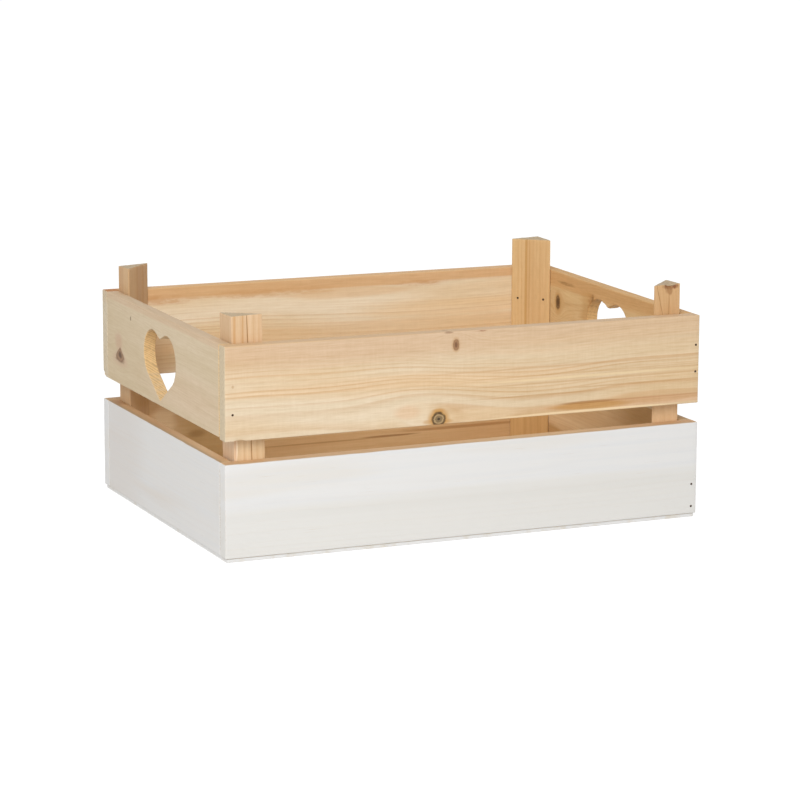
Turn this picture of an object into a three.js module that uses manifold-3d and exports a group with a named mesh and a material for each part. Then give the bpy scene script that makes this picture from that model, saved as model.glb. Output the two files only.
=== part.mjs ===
// A kindling box: a nailed softwood crate of two tiers of boards with an open gap between them.
//
// Four triangular posts stand in the corners and rise above the upper boards. The front and back
// boards run the full length and cover the ends of the end boards. Each upper end board has a
// heart-shaped hand hole. A thin panel is nailed on from below. Everything is held by brads.
//
// Millimetres, +Z up. +X runs along the length and the front faces -Y. The origin is on the floor,
// below the middle of the box.

import * as THREE from 'three';
import { mergeVertices } from 'three/addons/utils/BufferGeometryUtils.js';
import Module from 'manifold-3d';

// ---------------------------------------------------------------- driving dimensions

// The box outside.
const BOX_LENGTH = 400;
const BOX_WIDTH = 282;

// The bottom panel.
const PANEL_THICKNESS = 3;
const PANEL_INSET = 1.5; // how far its edges stay inside the faces of the boards

// The boards.
const LONG_BOARD_THICKNESS = 12; // front and back
const END_BOARD_THICKNESS = 10; // left and right
const LOWER_BOARD_HEIGHT = 72.5;
const UPPER_BOARD_HEIGHT = 71;
const TIER_GAP = 18.5; // open all round, between the lower and the upper boards
const BOARD_ARRIS = 0.8; // chamfer on the long edges, taken off after sawing
// The boards were ripped a little uneven: how much higher than their nominal tops the boards that
// meet in a corner of the box stand there. Between two corners a top edge runs straight.
const LOWER_EXTRA_FRONT_RIGHT = 1.8;
const LOWER_EXTRA_REAR_RIGHT = 1.8;
const UPPER_EXTRA_FRONT_RIGHT = -1.9;
const UPPER_EXTRA_REAR_LEFT = 0.9;
const UPPER_EXTRA_REAR_RIGHT = -0.5;

// The corner posts, right triangles in section with the right angle in the corner of the box.
const POST_LEG = 25; // width against each board
const POST_LEG_FRONT_RIGHT = 23; // this one was ripped a little narrower
const POST_BLUNT = 1.2; // width of the flat left on each of the two sharp edges
// How far the right angle of each top stands above the upper boards. They were cut by hand, a little
// out of square: SLANT_LONG and SLANT_END say how much higher than that the top is at the sharp edge
// on the long board and at the one on the end board.
const POST_RISE_FRONT_LEFT = 20.3;
const POST_RISE_FRONT_RIGHT = 22.4;
const POST_RISE_REAR_LEFT = 21.4;
const POST_RISE_REAR_RIGHT = 24.9;
const POST_SLANT_LONG_FRONT_LEFT = 0.7;
const POST_SLANT_LONG_FRONT_RIGHT = -0.8;
const POST_SLANT_LONG_REAR_LEFT = 1;
const POST_SLANT_LONG_REAR_RIGHT = -0.6;
const POST_SLANT_END_FRONT_LEFT = -0.6;
const POST_SLANT_END_FRONT_RIGHT = -0.5;
const POST_SLANT_END_REAR_LEFT = 1.3;
const POST_SLANT_END_REAR_RIGHT = -0.2;
// The front posts were nailed on not quite tight against the end boards, and one of them leans.
const POST_OFF_TOP_FRONT_RIGHT = 1.6;
const POST_OFF_FOOT_FRONT_LEFT = 3.2;
const POST_OFF_FOOT_FRONT_RIGHT = 1.6;

// The hand holes: two round lobes, drawn down to a point by the lines that touch them, and a cusp
// where two shallow slopes from the tops of the lobes meet.
const HEART_LOBE_RADIUS = 20;
const HEART_LOBE_SPREAD = 16.5; // from the middle line to the centre of a lobe
const HEART_DROP = 34; // from the centres of the lobes down to the point
const HEART_CUSP_SLOPE = 22; // degrees, of the two slopes that meet in the cusp
const HEART_POINT_HEIGHT = 4; // wood left between the point and the lower edge of the board
const HEART_SHIFT_LEFT = 2.5; // along Y, off the middle of the board
const HEART_SHIFT_RIGHT = -2;
const HEART_EASE = 0.8; // chamfer round both rims
const HEART_CURVE_SEGMENTS = 28; // facets in the round of each lobe

// The brads, all of one wire.
const BRAD_SHANK_DIAMETER = 1.4;
const BRAD_HEAD_DIAMETER = 2.2;
const BRAD_HEAD_THICKNESS = 0.8;
const BRAD_POINT_LENGTH = 2;
const BRAD_SET = 0.4; // how deep a head is punched below the wood
const BRAD_CLEARANCE = 0.3; // between a brad and the hole round it
const BRAD_SIDES = 8;

// Brads through the ends of the front and back boards, a pair at each end. START is how far the
// lower brad of a pair sits above the lower edge of the board, at the end that is on the left or on
// the right of someone who faces that board from outside.
const CORNER_BRAD_START_LOWER_LEFT = 7;
const CORNER_BRAD_START_LOWER_RIGHT = 6;
const CORNER_BRAD_START_UPPER_LEFT = 19;
const CORNER_BRAD_START_UPPER_RIGHT = 24;
const CORNER_BRAD_PITCH_LOWER = 18;
const CORNER_BRAD_PITCH_UPPER = 21.3;
const CORNER_BRAD_BITE = 8; // how far they reach into the end boards
// How far a pair stands off the middle of the end board, towards the middle of the box.
const CORNER_BRAD_OFF_LOWER_RIGHT = -0.5;
const CORNER_BRAD_OFF_UPPER_LEFT = 1.4;
const CORNER_BRAD_OFF_UPPER_RIGHT = -1.9;

// Brads through the posts, square to the sloping face. DROP is how far they sit below the top edge
// of each board, at a height that keeps them clear of the corner brads.
const POST_BRAD_DROP_FRONT_LEFT = 24;
const POST_BRAD_DROP_FRONT_RIGHT = 33;
const POST_BRAD_DROP_REAR_LEFT = 33;
const POST_BRAD_DROP_REAR_RIGHT = 27;
const POST_BRAD_EDGE = 7; // from each sharp edge of the post, along the sloping face
const POST_BRAD_COVER = 2; // wood left in front of the point

// Brads through the panel, up into the lower boards.
const PANEL_BRADS_LONG = 4; // under each long board
const PANEL_BRADS_END = 2; // under each end board
const PANEL_BRAD_MARGIN_LONG = 40; // from the outside of the box to the first brad of a row
const PANEL_BRAD_MARGIN_END = 70;
const PANEL_BRAD_BITE = 12; // how far they reach into the boards

// ---------------------------------------------------------------- sizes worked out from these

const INNER_X = BOX_LENGTH / 2 - END_BOARD_THICKNESS;
const INNER_Y = BOX_WIDTH / 2 - LONG_BOARD_THICKNESS;
const LOWER_TOP = PANEL_THICKNESS + LOWER_BOARD_HEIGHT;
const UPPER_BOTTOM = LOWER_TOP + TIER_GAP;
const UPPER_TOP = UPPER_BOTTOM + UPPER_BOARD_HEIGHT;
const TIERS = [
  {
    name: 'lower',
    bottom: PANEL_THICKNESS,
    top: LOWER_TOP,
    extra: { front: [0, LOWER_EXTRA_FRONT_RIGHT], back: [0, LOWER_EXTRA_REAR_RIGHT] },
    bradStart: { left: CORNER_BRAD_START_LOWER_LEFT, right: CORNER_BRAD_START_LOWER_RIGHT },
    bradOff: { left: 0, right: CORNER_BRAD_OFF_LOWER_RIGHT },
    bradPitch: CORNER_BRAD_PITCH_LOWER,
  },
  {
    name: 'upper',
    bottom: UPPER_BOTTOM,
    top: UPPER_TOP,
    extra: {
      front: [0, UPPER_EXTRA_FRONT_RIGHT],
      back: [UPPER_EXTRA_REAR_LEFT, UPPER_EXTRA_REAR_RIGHT],
    },
    bradStart: { left: CORNER_BRAD_START_UPPER_LEFT, right: CORNER_BRAD_START_UPPER_RIGHT },
    bradOff: { left: CORNER_BRAD_OFF_UPPER_LEFT, right: CORNER_BRAD_OFF_UPPER_RIGHT },
    bradPitch: CORNER_BRAD_PITCH_UPPER,
  },
];
const SIDES = [
  { name: 'left', sign: -1, heartShift: HEART_SHIFT_LEFT },
  { name: 'right', sign: 1, heartShift: HEART_SHIFT_RIGHT },
];
const FACES = [
  { name: 'front', sign: -1 },
  { name: 'back', sign: 1 },
];
const POSTS = [
  {
    name: 'front_left',
    side: -1,
    face: -1,
    leg: POST_LEG,
    offTop: 0,
    offFoot: POST_OFF_FOOT_FRONT_LEFT,
    rise: POST_RISE_FRONT_LEFT,
    slantLong: POST_SLANT_LONG_FRONT_LEFT,
    slantEnd: POST_SLANT_END_FRONT_LEFT,
    bradDrop: POST_BRAD_DROP_FRONT_LEFT,
  },
  {
    name: 'front_right',
    side: 1,
    face: -1,
    leg: POST_LEG_FRONT_RIGHT,
    offTop: POST_OFF_TOP_FRONT_RIGHT,
    offFoot: POST_OFF_FOOT_FRONT_RIGHT,
    rise: POST_RISE_FRONT_RIGHT,
    slantLong: POST_SLANT_LONG_FRONT_RIGHT,
    slantEnd: POST_SLANT_END_FRONT_RIGHT,
    bradDrop: POST_BRAD_DROP_FRONT_RIGHT,
  },
  {
    name: 'rear_left',
    side: -1,
    face: 1,
    leg: POST_LEG,
    offTop: 0,
    offFoot: 0,
    rise: POST_RISE_REAR_LEFT,
    slantLong: POST_SLANT_LONG_REAR_LEFT,
    slantEnd: POST_SLANT_END_REAR_LEFT,
    bradDrop: POST_BRAD_DROP_REAR_LEFT,
  },
  {
    name: 'rear_right',
    side: 1,
    face: 1,
    leg: POST_LEG,
    offTop: 0,
    offFoot: 0,
    rise: POST_RISE_REAR_RIGHT,
    slantLong: POST_SLANT_LONG_REAR_RIGHT,
    slantEnd: POST_SLANT_END_REAR_RIGHT,
    bradDrop: POST_BRAD_DROP_REAR_RIGHT,
  },
];

const X = new THREE.Vector3(1, 0, 0);
const Y = new THREE.Vector3(0, 1, 0);
const Z = new THREE.Vector3(0, 0, 1);
// Where an outline's own x and y go, and the way it is extruded.
const ALONG_X = new THREE.Matrix4().makeBasis(Y, Z, X);
const ALONG_Y = new THREE.Matrix4().makeBasis(X, Z, Y.clone().negate());
const PAST_THE_WOOD = 2; // how far a cutter stands out of the piece that it cuts

// ---------------------------------------------------------------- finishes

const FINISHES = {
  pine: new THREE.MeshStandardMaterial({ color: 0xdcb88c, roughness: 0.78, metalness: 0 }),
  whitePaint: new THREE.MeshStandardMaterial({ color: 0xe4e3e0, roughness: 0.7, metalness: 0 }),
  postPine: new THREE.MeshStandardMaterial({ color: 0xcfa16c, roughness: 0.8, metalness: 0 }),
  panel: new THREE.MeshStandardMaterial({ color: 0xd8cdbb, roughness: 0.85, metalness: 0 }),
  steel: new THREE.MeshStandardMaterial({ color: 0x55504a, roughness: 0.5, metalness: 0.85 }),
};

// ---------------------------------------------------------------- solids

const wasm = await Module();
wasm.setup();

/** Turns a closed geometry into a solid that can be joined and cut. */
function solid(geometry) {
  const bare = geometry.clone();
  bare.deleteAttribute('normal');
  bare.deleteAttribute('uv');
  const merged = mergeVertices(bare, 1e-5);
  const triangles = [];
  for (let i = 0; i < merged.index.count; i += 3) {
    const [a, b, c] = [merged.index.getX(i), merged.index.getX(i + 1), merged.index.getX(i + 2)];
    // The facets at the poles of a turned piece have no area.
    if (a !== b && b !== c && c !== a) triangles.push(a, b, c);
  }
  return new wasm.Manifold(new wasm.Mesh({
    numProp: 3,
    vertProperties: new Float32Array(merged.attributes.position.array),
    triVerts: new Uint32Array(triangles),
  }));
}

/** Turns a solid back into a geometry with flat facets. */
function geometryOf(body) {
  const mesh = body.getMesh();
  const geometry = new THREE.BufferGeometry();
  geometry.setAttribute('position', new THREE.BufferAttribute(mesh.vertProperties, 3));
  geometry.setIndex(new THREE.BufferAttribute(mesh.triVerts, 1));
  const flat = geometry.toNonIndexed();
  flat.computeVertexNormals();
  return flat;
}

/** Extrudes an outline the same distance both ways from the origin, along the axis of basis. */
function prism(outline, length, basis, bevel = { bevelEnabled: false }) {
  const options = { depth: length, curveSegments: HEART_CURVE_SEGMENTS, ...bevel };
  const geometry = new THREE.ExtrudeGeometry(outline, options);
  geometry.translate(0, 0, -length / 2);
  geometry.applyMatrix4(basis);
  return solid(geometry);
}

/** A rectangle with its four corners chamfered. */
function easedRectangle(left, right, bottom, top, ease) {
  const points = [
    [left + ease, bottom],
    [right - ease, bottom],
    [right, bottom + ease],
    [right, top - ease],
    [right - ease, top],
    [left + ease, top],
    [left, top - ease],
    [left, bottom + ease],
  ];
  return new THREE.Shape(points.map(([x, y]) => new THREE.Vector2(x, y)));
}

// ---------------------------------------------------------------- boards, posts and panel

/** Raises the top edge of a board by one amount at its low end and by another at its high end. */
function ripped(board, tier, axis, length, [lowEnd, highEnd]) {
  const middle = (tier.bottom + tier.top) / 2;
  return board.warp((corner) => {
    if (corner[2] > middle) {
      corner[2] += THREE.MathUtils.lerp(lowEnd, highEnd, corner[axis] / length + 0.5);
    }
  });
}

/** A front or back board, which runs the full length of the box. */
function longBoard(face, tier) {
  const faces = [face.sign * INNER_Y, (face.sign * BOX_WIDTH) / 2];
  const outline = easedRectangle(
    Math.min(...faces), Math.max(...faces), tier.bottom, tier.top, BOARD_ARRIS,
  );
  return ripped(prism(outline, BOX_LENGTH, ALONG_X), tier, 0, BOX_LENGTH, tier.extra[face.name]);
}

/** A left or right board, between the front and the back boards. */
function endBoard(side, tier) {
  const faces = [side.sign * INNER_X, (side.sign * BOX_LENGTH) / 2];
  const outline = easedRectangle(
    Math.min(...faces), Math.max(...faces), tier.bottom, tier.top, BOARD_ARRIS,
  );
  const end = side.sign < 0 ? 0 : 1;
  const extra = [tier.extra.front[end], tier.extra.back[end]];
  return ripped(prism(outline, 2 * INNER_Y, ALONG_Y), tier, 1, 2 * INNER_Y, extra);
}

/** The outline of a heart, with its point at the origin. */
function heartOutline() {
  const centre = new THREE.Vector2(HEART_LOBE_SPREAD, HEART_DROP);
  const onLobe = (angle) => new THREE.Vector2(Math.cos(angle), Math.sin(angle))
    .multiplyScalar(HEART_LOBE_RADIUS)
    .add(centre);
  const slope = THREE.MathUtils.degToRad(HEART_CUSP_SLOPE);
  // The right lobe runs from where the line from the point touches it to where the slope does.
  const towardsPoint = Math.atan2(-centre.y, -centre.x);
  const start = towardsPoint + Math.acos(HEART_LOBE_RADIUS / centre.length());
  const end = Math.PI / 2 + slope;
  const outline = new THREE.Shape();
  outline.moveTo(0, 0);
  outline.lineTo(onLobe(start).x, onLobe(start).y);
  outline.absarc(centre.x, centre.y, HEART_LOBE_RADIUS, start, end, false);
  outline.lineTo(0, onLobe(end).y - onLobe(end).x * Math.tan(slope));
  outline.absarc(-centre.x, centre.y, HEART_LOBE_RADIUS, Math.PI - end, Math.PI - start, false);
  outline.closePath();
  return outline;
}

/** The hand hole of an end board, flared at both rims. */
function heartCutter(side) {
  const outerX = BOX_LENGTH / 2;
  const outline = heartOutline();
  const middle = outerX - END_BOARD_THICKNESS / 2;
  const through = prism(outline, END_BOARD_THICKNESS + 2 * PAST_THE_WOOD, ALONG_X)
    .translate([middle, 0, 0]);
  // A bevelled plug stands on each face, and only its tapered end reaches into the wood.
  const flare = prism(outline, PAST_THE_WOOD, ALONG_X, {
    bevelEnabled: true, bevelThickness: HEART_EASE, bevelSize: HEART_EASE, bevelSegments: 1,
  });
  const standOff = (END_BOARD_THICKNESS + PAST_THE_WOOD) / 2;
  const flares = [-1, 1].map((way) => flare.translate([middle + way * standOff, 0, 0]));
  const hole = wasm.Manifold.union([through, ...flares]);
  return (side.sign < 0 ? hole.mirror([1, 0, 0]) : hole)
    .translate([0, side.heartShift, UPPER_BOTTOM + HEART_POINT_HEIGHT]);
}

/** How far a post stands off its end board at a height. */
function postOff({ offTop, offFoot, rise }, height) {
  const tall = UPPER_TOP + rise - PANEL_THICKNESS;
  return THREE.MathUtils.lerp(offFoot, offTop, (height - PANEL_THICKNESS) / tall);
}

/** A post, from the panel to its own height above the upper boards. */
function post(corner) {
  const { side, face, leg, rise, slantLong, slantEnd } = corner;
  const section = [
    [0, 0],
    [leg, 0],
    [leg, POST_BLUNT],
    [POST_BLUNT, leg],
    [0, leg],
  ];
  const outline = new THREE.Shape(section.map(
    ([x, y]) => new THREE.Vector2(side * (INNER_X - x), face * (INNER_Y - y)),
  ));
  const height = UPPER_TOP + rise - PANEL_THICKNESS;
  const geometry = new THREE.ExtrudeGeometry(outline, { depth: height, bevelEnabled: false });
  geometry.translate(0, 0, PANEL_THICKNESS);
  // Only the corners of the top lie above the boards, and they share one slanted plane. A post that
  // leans keeps flat against its long board.
  const corners = geometry.attributes.position;
  for (let i = 0; i < corners.count; i += 1) {
    if (corners.getZ(i) > UPPER_TOP) {
      const alongLong = (INNER_X - Math.abs(corners.getX(i))) / leg;
      const alongEnd = (INNER_Y - Math.abs(corners.getY(i))) / leg;
      corners.setZ(i, corners.getZ(i) + alongLong * slantLong + alongEnd * slantEnd);
    }
    corners.setX(i, corners.getX(i) - side * postOff(corner, corners.getZ(i)));
  }
  return solid(geometry);
}

/** The panel under the boards. */
function bottomPanel() {
  const length = BOX_LENGTH - 2 * PANEL_INSET;
  const width = BOX_WIDTH - 2 * PANEL_INSET;
  const geometry = new THREE.BoxGeometry(length, width, PANEL_THICKNESS);
  geometry.translate(0, 0, PANEL_THICKNESS / 2);
  return solid(geometry);
}

// ---------------------------------------------------------------- brads

/** A turned brad, or with a clearance the hole for it, which is open above the head. */
function bradSolid({ entry, direction, length }, clearance = 0) {
  const shank = BRAD_SHANK_DIAMETER / 2 + clearance;
  const head = BRAD_HEAD_DIAMETER / 2 + clearance;
  const underHead = -BRAD_SET - BRAD_HEAD_THICKNESS - clearance;
  const top = clearance > 0 ? PAST_THE_WOOD : -BRAD_SET;
  const profile = [
    [0, -length - clearance],
    [shank, -length + BRAD_POINT_LENGTH - clearance],
    [shank, underHead],
    [head, underHead],
    [head, top],
    [0, top],
  ];
  const geometry = new THREE.LatheGeometry(
    profile.map(([x, y]) => new THREE.Vector2(x, y)), BRAD_SIDES,
  );
  const turn = new THREE.Quaternion().setFromUnitVectors(Y.clone().negate(), direction);
  geometry.applyQuaternion(turn);
  geometry.translate(entry.x, entry.y, entry.z);
  return solid(geometry);
}

/** The brads of a front or back board: a pair at each end, into the end grain of the end boards. */
function cornerBrads(face, tier) {
  const direction = new THREE.Vector3(0, -face.sign, 0);
  return SIDES.flatMap((side) => {
    const seenOnTheLeft = side.sign === face.sign;
    const seen = seenOnTheLeft ? 'left' : 'right';
    const first = tier.bottom + tier.bradStart[seen];
    const reach = BOX_LENGTH / 2 - END_BOARD_THICKNESS / 2 - tier.bradOff[seen];
    return [first, first + tier.bradPitch].map((height) => ({
      entry: new THREE.Vector3(side.sign * reach, (face.sign * BOX_WIDTH) / 2, height),
      direction,
      length: LONG_BOARD_THICKNESS + CORNER_BRAD_BITE,
    }));
  });
}

/** The brads of a post: in each tier one into the long board and one into the end board. */
function postBrads(corner) {
  const { side, face, leg, bradDrop } = corner;
  const direction = new THREE.Vector3(side, face, 0).normalize();
  const near = POST_BRAD_EDGE * Math.SQRT1_2;
  const far = leg + POST_BLUNT - near;
  // Square to the sloping face, the wood of the post is as deep as the brad is far from its edge.
  const thinner = Math.min(LONG_BOARD_THICKNESS, END_BOARD_THICKNESS);
  const throughThePost = POST_BRAD_EDGE + POST_BLUNT * Math.SQRT1_2;
  const length = throughThePost + (thinner - POST_BRAD_COVER) * Math.SQRT2;
  return TIERS.flatMap((tier) => {
    const height = tier.top - bradDrop;
    const inner = INNER_X - postOff(corner, height);
    return [[far, near], [near, far]].map(([x, y]) => ({
      entry: new THREE.Vector3(side * (inner - x), face * (INNER_Y - y), height),
      direction,
      length,
    }));
  });
}

/** Evenly spaced places in a row that starts and ends a margin inside the box. */
function rowPlaces(boxSize, margin, count) {
  const reach = boxSize / 2 - margin;
  return Array.from({ length: count }, (_, i) => THREE.MathUtils.lerp(-reach, reach, i / (count - 1)));
}

/** The brads of the panel, up into the middle of each lower board. */
function panelBrads() {
  const alongFront = rowPlaces(BOX_LENGTH, PANEL_BRAD_MARGIN_LONG, PANEL_BRADS_LONG)
    .flatMap((x) => FACES.map(({ sign }) => [x, sign * (INNER_Y + LONG_BOARD_THICKNESS / 2)]));
  const alongEnds = rowPlaces(BOX_WIDTH, PANEL_BRAD_MARGIN_END, PANEL_BRADS_END)
    .flatMap((y) => SIDES.map(({ sign }) => [sign * (INNER_X + END_BOARD_THICKNESS / 2), y]));
  return [...alongFront, ...alongEnds].map(([x, y]) => ({
    entry: new THREE.Vector3(x, y, 0),
    direction: Z,
    length: PANEL_THICKNESS + PANEL_BRAD_BITE,
  }));
}

// ---------------------------------------------------------------- the box

const bradSets = [
  ...FACES.flatMap((face) => TIERS.map((tier) => ({
    name: `${face.name}_${tier.name}_brad`, brads: cornerBrads(face, tier),
  }))),
  ...POSTS.map((corner) => ({ name: `post_${corner.name}_brad`, brads: postBrads(corner) })),
  { name: 'bottom_panel_brad', brads: panelBrads() },
];
const bradHoles = wasm.Manifold.union(
  bradSets.flatMap(({ brads }) => brads.map((brad) => bradSolid(brad, BRAD_CLEARANCE))),
);

const box = new THREE.Group();
box.name = 'kindling_box';

/** Adds a solid to the box as a named piece with a finish of its own. */
function addPiece(name, body, finish) {
  const piece = new THREE.Mesh(geometryOf(body), FINISHES[finish].clone());
  piece.name = name;
  box.add(piece);
}

for (const tier of TIERS) {
  const finish = tier.name === 'lower' ? 'whitePaint' : 'pine';
  for (const face of FACES) {
    const board = longBoard(face, tier).subtract(bradHoles);
    addPiece(`${face.name}_${tier.name}_board`, board, finish);
  }
  for (const side of SIDES) {
    const plain = endBoard(side, tier).subtract(bradHoles);
    const board = tier.name === 'upper' ? plain.subtract(heartCutter(side)) : plain;
    addPiece(`${side.name}_${tier.name}_board`, board, finish);
  }
}
for (const corner of POSTS) {
  addPiece(`post_${corner.name}`, post(corner).subtract(bradHoles), 'postPine');
}
addPiece('bottom_panel', bottomPanel().subtract(bradHoles), 'panel');
for (const { name, brads } of bradSets) {
  brads.forEach((brad, i) => addPiece(`${name}_${i + 1}`, bradSolid(brad), 'steel'));
}

export default box;
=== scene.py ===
"""A kindling box of sawn pine, as its maker would finish it.

The box is a nailed crate in two tiers. The lower boards are rolled white on the outside before they
are nailed, and everything else is bare wood. Lengths in this file are millimetres in the box's own
frame (+X along the front, -Y towards the viewer, +Z up), and meshes are built in metres.
"""

import logging
import math
from dataclasses import dataclass
from enum import Enum
from functools import partial
from typing import Any, Callable, Iterable, Sequence

import bpy
from mathutils import Matrix, Vector


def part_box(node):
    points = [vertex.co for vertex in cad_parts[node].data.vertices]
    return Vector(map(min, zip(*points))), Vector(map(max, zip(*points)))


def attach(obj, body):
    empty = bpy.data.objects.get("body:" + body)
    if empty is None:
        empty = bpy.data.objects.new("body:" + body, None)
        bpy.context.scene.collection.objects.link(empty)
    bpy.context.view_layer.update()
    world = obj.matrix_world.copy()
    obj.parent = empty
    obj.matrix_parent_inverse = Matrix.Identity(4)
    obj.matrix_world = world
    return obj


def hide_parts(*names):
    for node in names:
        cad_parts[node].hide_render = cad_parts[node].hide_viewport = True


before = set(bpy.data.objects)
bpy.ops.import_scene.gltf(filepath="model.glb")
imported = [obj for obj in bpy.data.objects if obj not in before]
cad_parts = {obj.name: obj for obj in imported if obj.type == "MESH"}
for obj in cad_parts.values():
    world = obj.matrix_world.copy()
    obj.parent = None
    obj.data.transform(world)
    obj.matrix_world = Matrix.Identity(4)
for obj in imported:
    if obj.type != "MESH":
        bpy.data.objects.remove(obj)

log = logging.getLogger("kindling_box")

MM = 0.001
ROOT_BODY = "root"

Material = bpy.types.Material
Mesh = bpy.types.Mesh
Object = bpy.types.Object
Socket = bpy.types.NodeSocket
Point = tuple[float, float, float]
Kind = tuple[str, dict[str, str]]  # a type of node, and a setting
Add = Callable[..., Socket]  # add_node with its tree filled in


# ---------------------------------------------------------------- small tools


def kinds(node_type: str, setting: str, *choices: str) -> list[Kind]:
    """Gives a type of node once for each choice of one of its settings."""
    return [(node_type, {setting: choice}) for choice in choices]


(PLUS, MINUS, TIMES, OVER, TIMES_PLUS, POWER, LARGER, SMALLER, SIZE, SIGN, SINE, COSINE, ARCTAN,
 FLOOR, FRACTION, ROUND) = kinds(
    "ShaderNodeMath", "operation", "ADD", "SUBTRACT", "MULTIPLY", "DIVIDE", "MULTIPLY_ADD", "POWER",
    "MAXIMUM", "MINIMUM", "ABSOLUTE", "SIGN", "SINE", "COSINE", "ARCTAN2", "FLOOR", "FRACT",
    "ROUND")
(V_PLUS, V_MINUS, V_TIMES, V_OVER, V_TIMES_PLUS, V_LARGER, V_SMALLER, V_SIZE, V_TANGENT, V_UNIT,
 SCALE, DOT, LENGTH, DISTANCE) = kinds(
    "ShaderNodeVectorMath", "operation", "ADD", "SUBTRACT", "MULTIPLY", "DIVIDE", "MULTIPLY_ADD",
    "MAXIMUM", "MINIMUM", "ABSOLUTE", "TANGENT", "NORMALIZE", "SCALE", "DOT_PRODUCT", "LENGTH",
    "DISTANCE")
RANGE, SOFT_RANGE = kinds("ShaderNodeMapRange", "interpolation_type", "LINEAR", "SMOOTHSTEP")
(MIX,) = kinds("ShaderNodeMix", "data_type", "RGBA")
NOISE = "ShaderNodeTexNoise"
COMBINE = "ShaderNodeCombineXYZ"
SEPARATE = "ShaderNodeSeparateXYZ"
SET_POSITION = "GeometryNodeSetPosition"
POSITION = "GeometryNodeInputPosition"


def linear(hex_colour: str) -> tuple[float, float, float, float]:
    """Turns an sRGB hex colour such as "E5E4E2" to linear red, green, blue and an alpha of 1."""
    values = [int(hex_colour[i : i + 2], 16) / 255 for i in (0, 2, 4)]
    return (*(v / 12.92 if v <= 0.04045 else ((v + 0.055) / 1.055) ** 2.4 for v in values), 1.0)


def add_node(
    tree: bpy.types.NodeTree, kind: str | Kind, *values: Any, inputs: dict[str, Any] | None = None,
    output: int | str | None = None, **settings: Any,
) -> Socket | None:
    """Adds a node with its settings and links.

    Args:
        tree: the tree that it goes into.
        kind: its type, alone or with a setting.
        values: what goes into the inputs that it shows, in order: a socket is linked, a hex colour
            is turned to linear, and anything else is set.
        inputs: the same for inputs by name.
        output: the output that is handed back, or None for the first that it shows.
        settings: its other properties.

    Returns:
        That output, or None for a node that has none.
    """
    node_type, fixed = (kind, {}) if isinstance(kind, str) else kind
    node = tree.nodes.new(node_type)
    for name, value in {**fixed, **settings}.items():
        setattr(node, name, value)
    pairs = list(zip([socket for socket in node.inputs if socket.enabled], values))
    pairs += [(node.inputs[name], value) for name, value in (inputs or {}).items()]
    for socket, value in pairs:
        if isinstance(value, Socket):
            tree.links.new(value, socket)
        elif socket.type == "RGBA" and isinstance(value, str):
            socket.default_value = linear(value)
        else:
            socket.default_value = value
    if output is not None:
        return node.outputs[output]
    return next((socket for socket in node.outputs if socket.enabled), None)


def new_material(name: str) -> tuple[Material, Add]:
    """Makes a material without nodes, and what adds them.

    Args:
        name: the material's name.

    Returns:
        The material, and the function that adds a node to its tree.
    """
    made = bpy.data.materials.new(name)
    made.use_nodes = True
    made.node_tree.nodes.clear()
    return made, partial(add_node, made.node_tree)


def new_object(name: str, data: Any) -> Object:
    """Puts a mesh, a lamp or a camera into the scene as an object at the origin.

    Args:
        name: the object's name.
        data: the mesh, lamp or camera.

    Returns:
        The object.
    """
    made = bpy.data.objects.new(name, data)
    bpy.context.scene.collection.objects.link(made)
    return made


def settle(piece: Object) -> Object:
    """Turns what a piece's modifiers make into its own plain mesh.

    Args:
        piece: an object with modifiers.

    Returns:
        The same object, without them.
    """
    depsgraph = bpy.context.evaluated_depsgraph_get()
    made = bpy.data.meshes.new_from_object(piece.evaluated_get(depsgraph), depsgraph=depsgraph)
    made.name = piece.name
    piece.modifiers.clear()
    piece.data = made
    return piece


# ---------------------------------------------------------------- how the wood grew


class Grain(Enum):
    """The axis that a piece's fibres run along, as the order (along, across, through)."""

    ALONG_X = (0, 2, 1)
    ALONG_Y = (1, 2, 0)
    ALONG_Z = (2, 0, 1)
    ALONG_X_FLAT = (0, 1, 2)


@dataclass
class Grown:
    """What a figure gives at a point: the sockets that colour and relief are made from."""

    place: Socket
    along: Socket
    across: Socket
    through: Socket
    line: Socket
    fibre: Socket
    streak: Socket
    zone: Socket
    ring: Socket
    mottle: Socket
    saw: Socket

    def off(self, add: Add, along: float, across: float, length: float, width: float) -> Socket:
        """Builds the way from a place to this point, in half lengths and half widths."""
        off = add(V_MINUS, self.place, (along, across, 0))
        return add(V_TIMES, off, (1 / length, 1 / width, 0))


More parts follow.
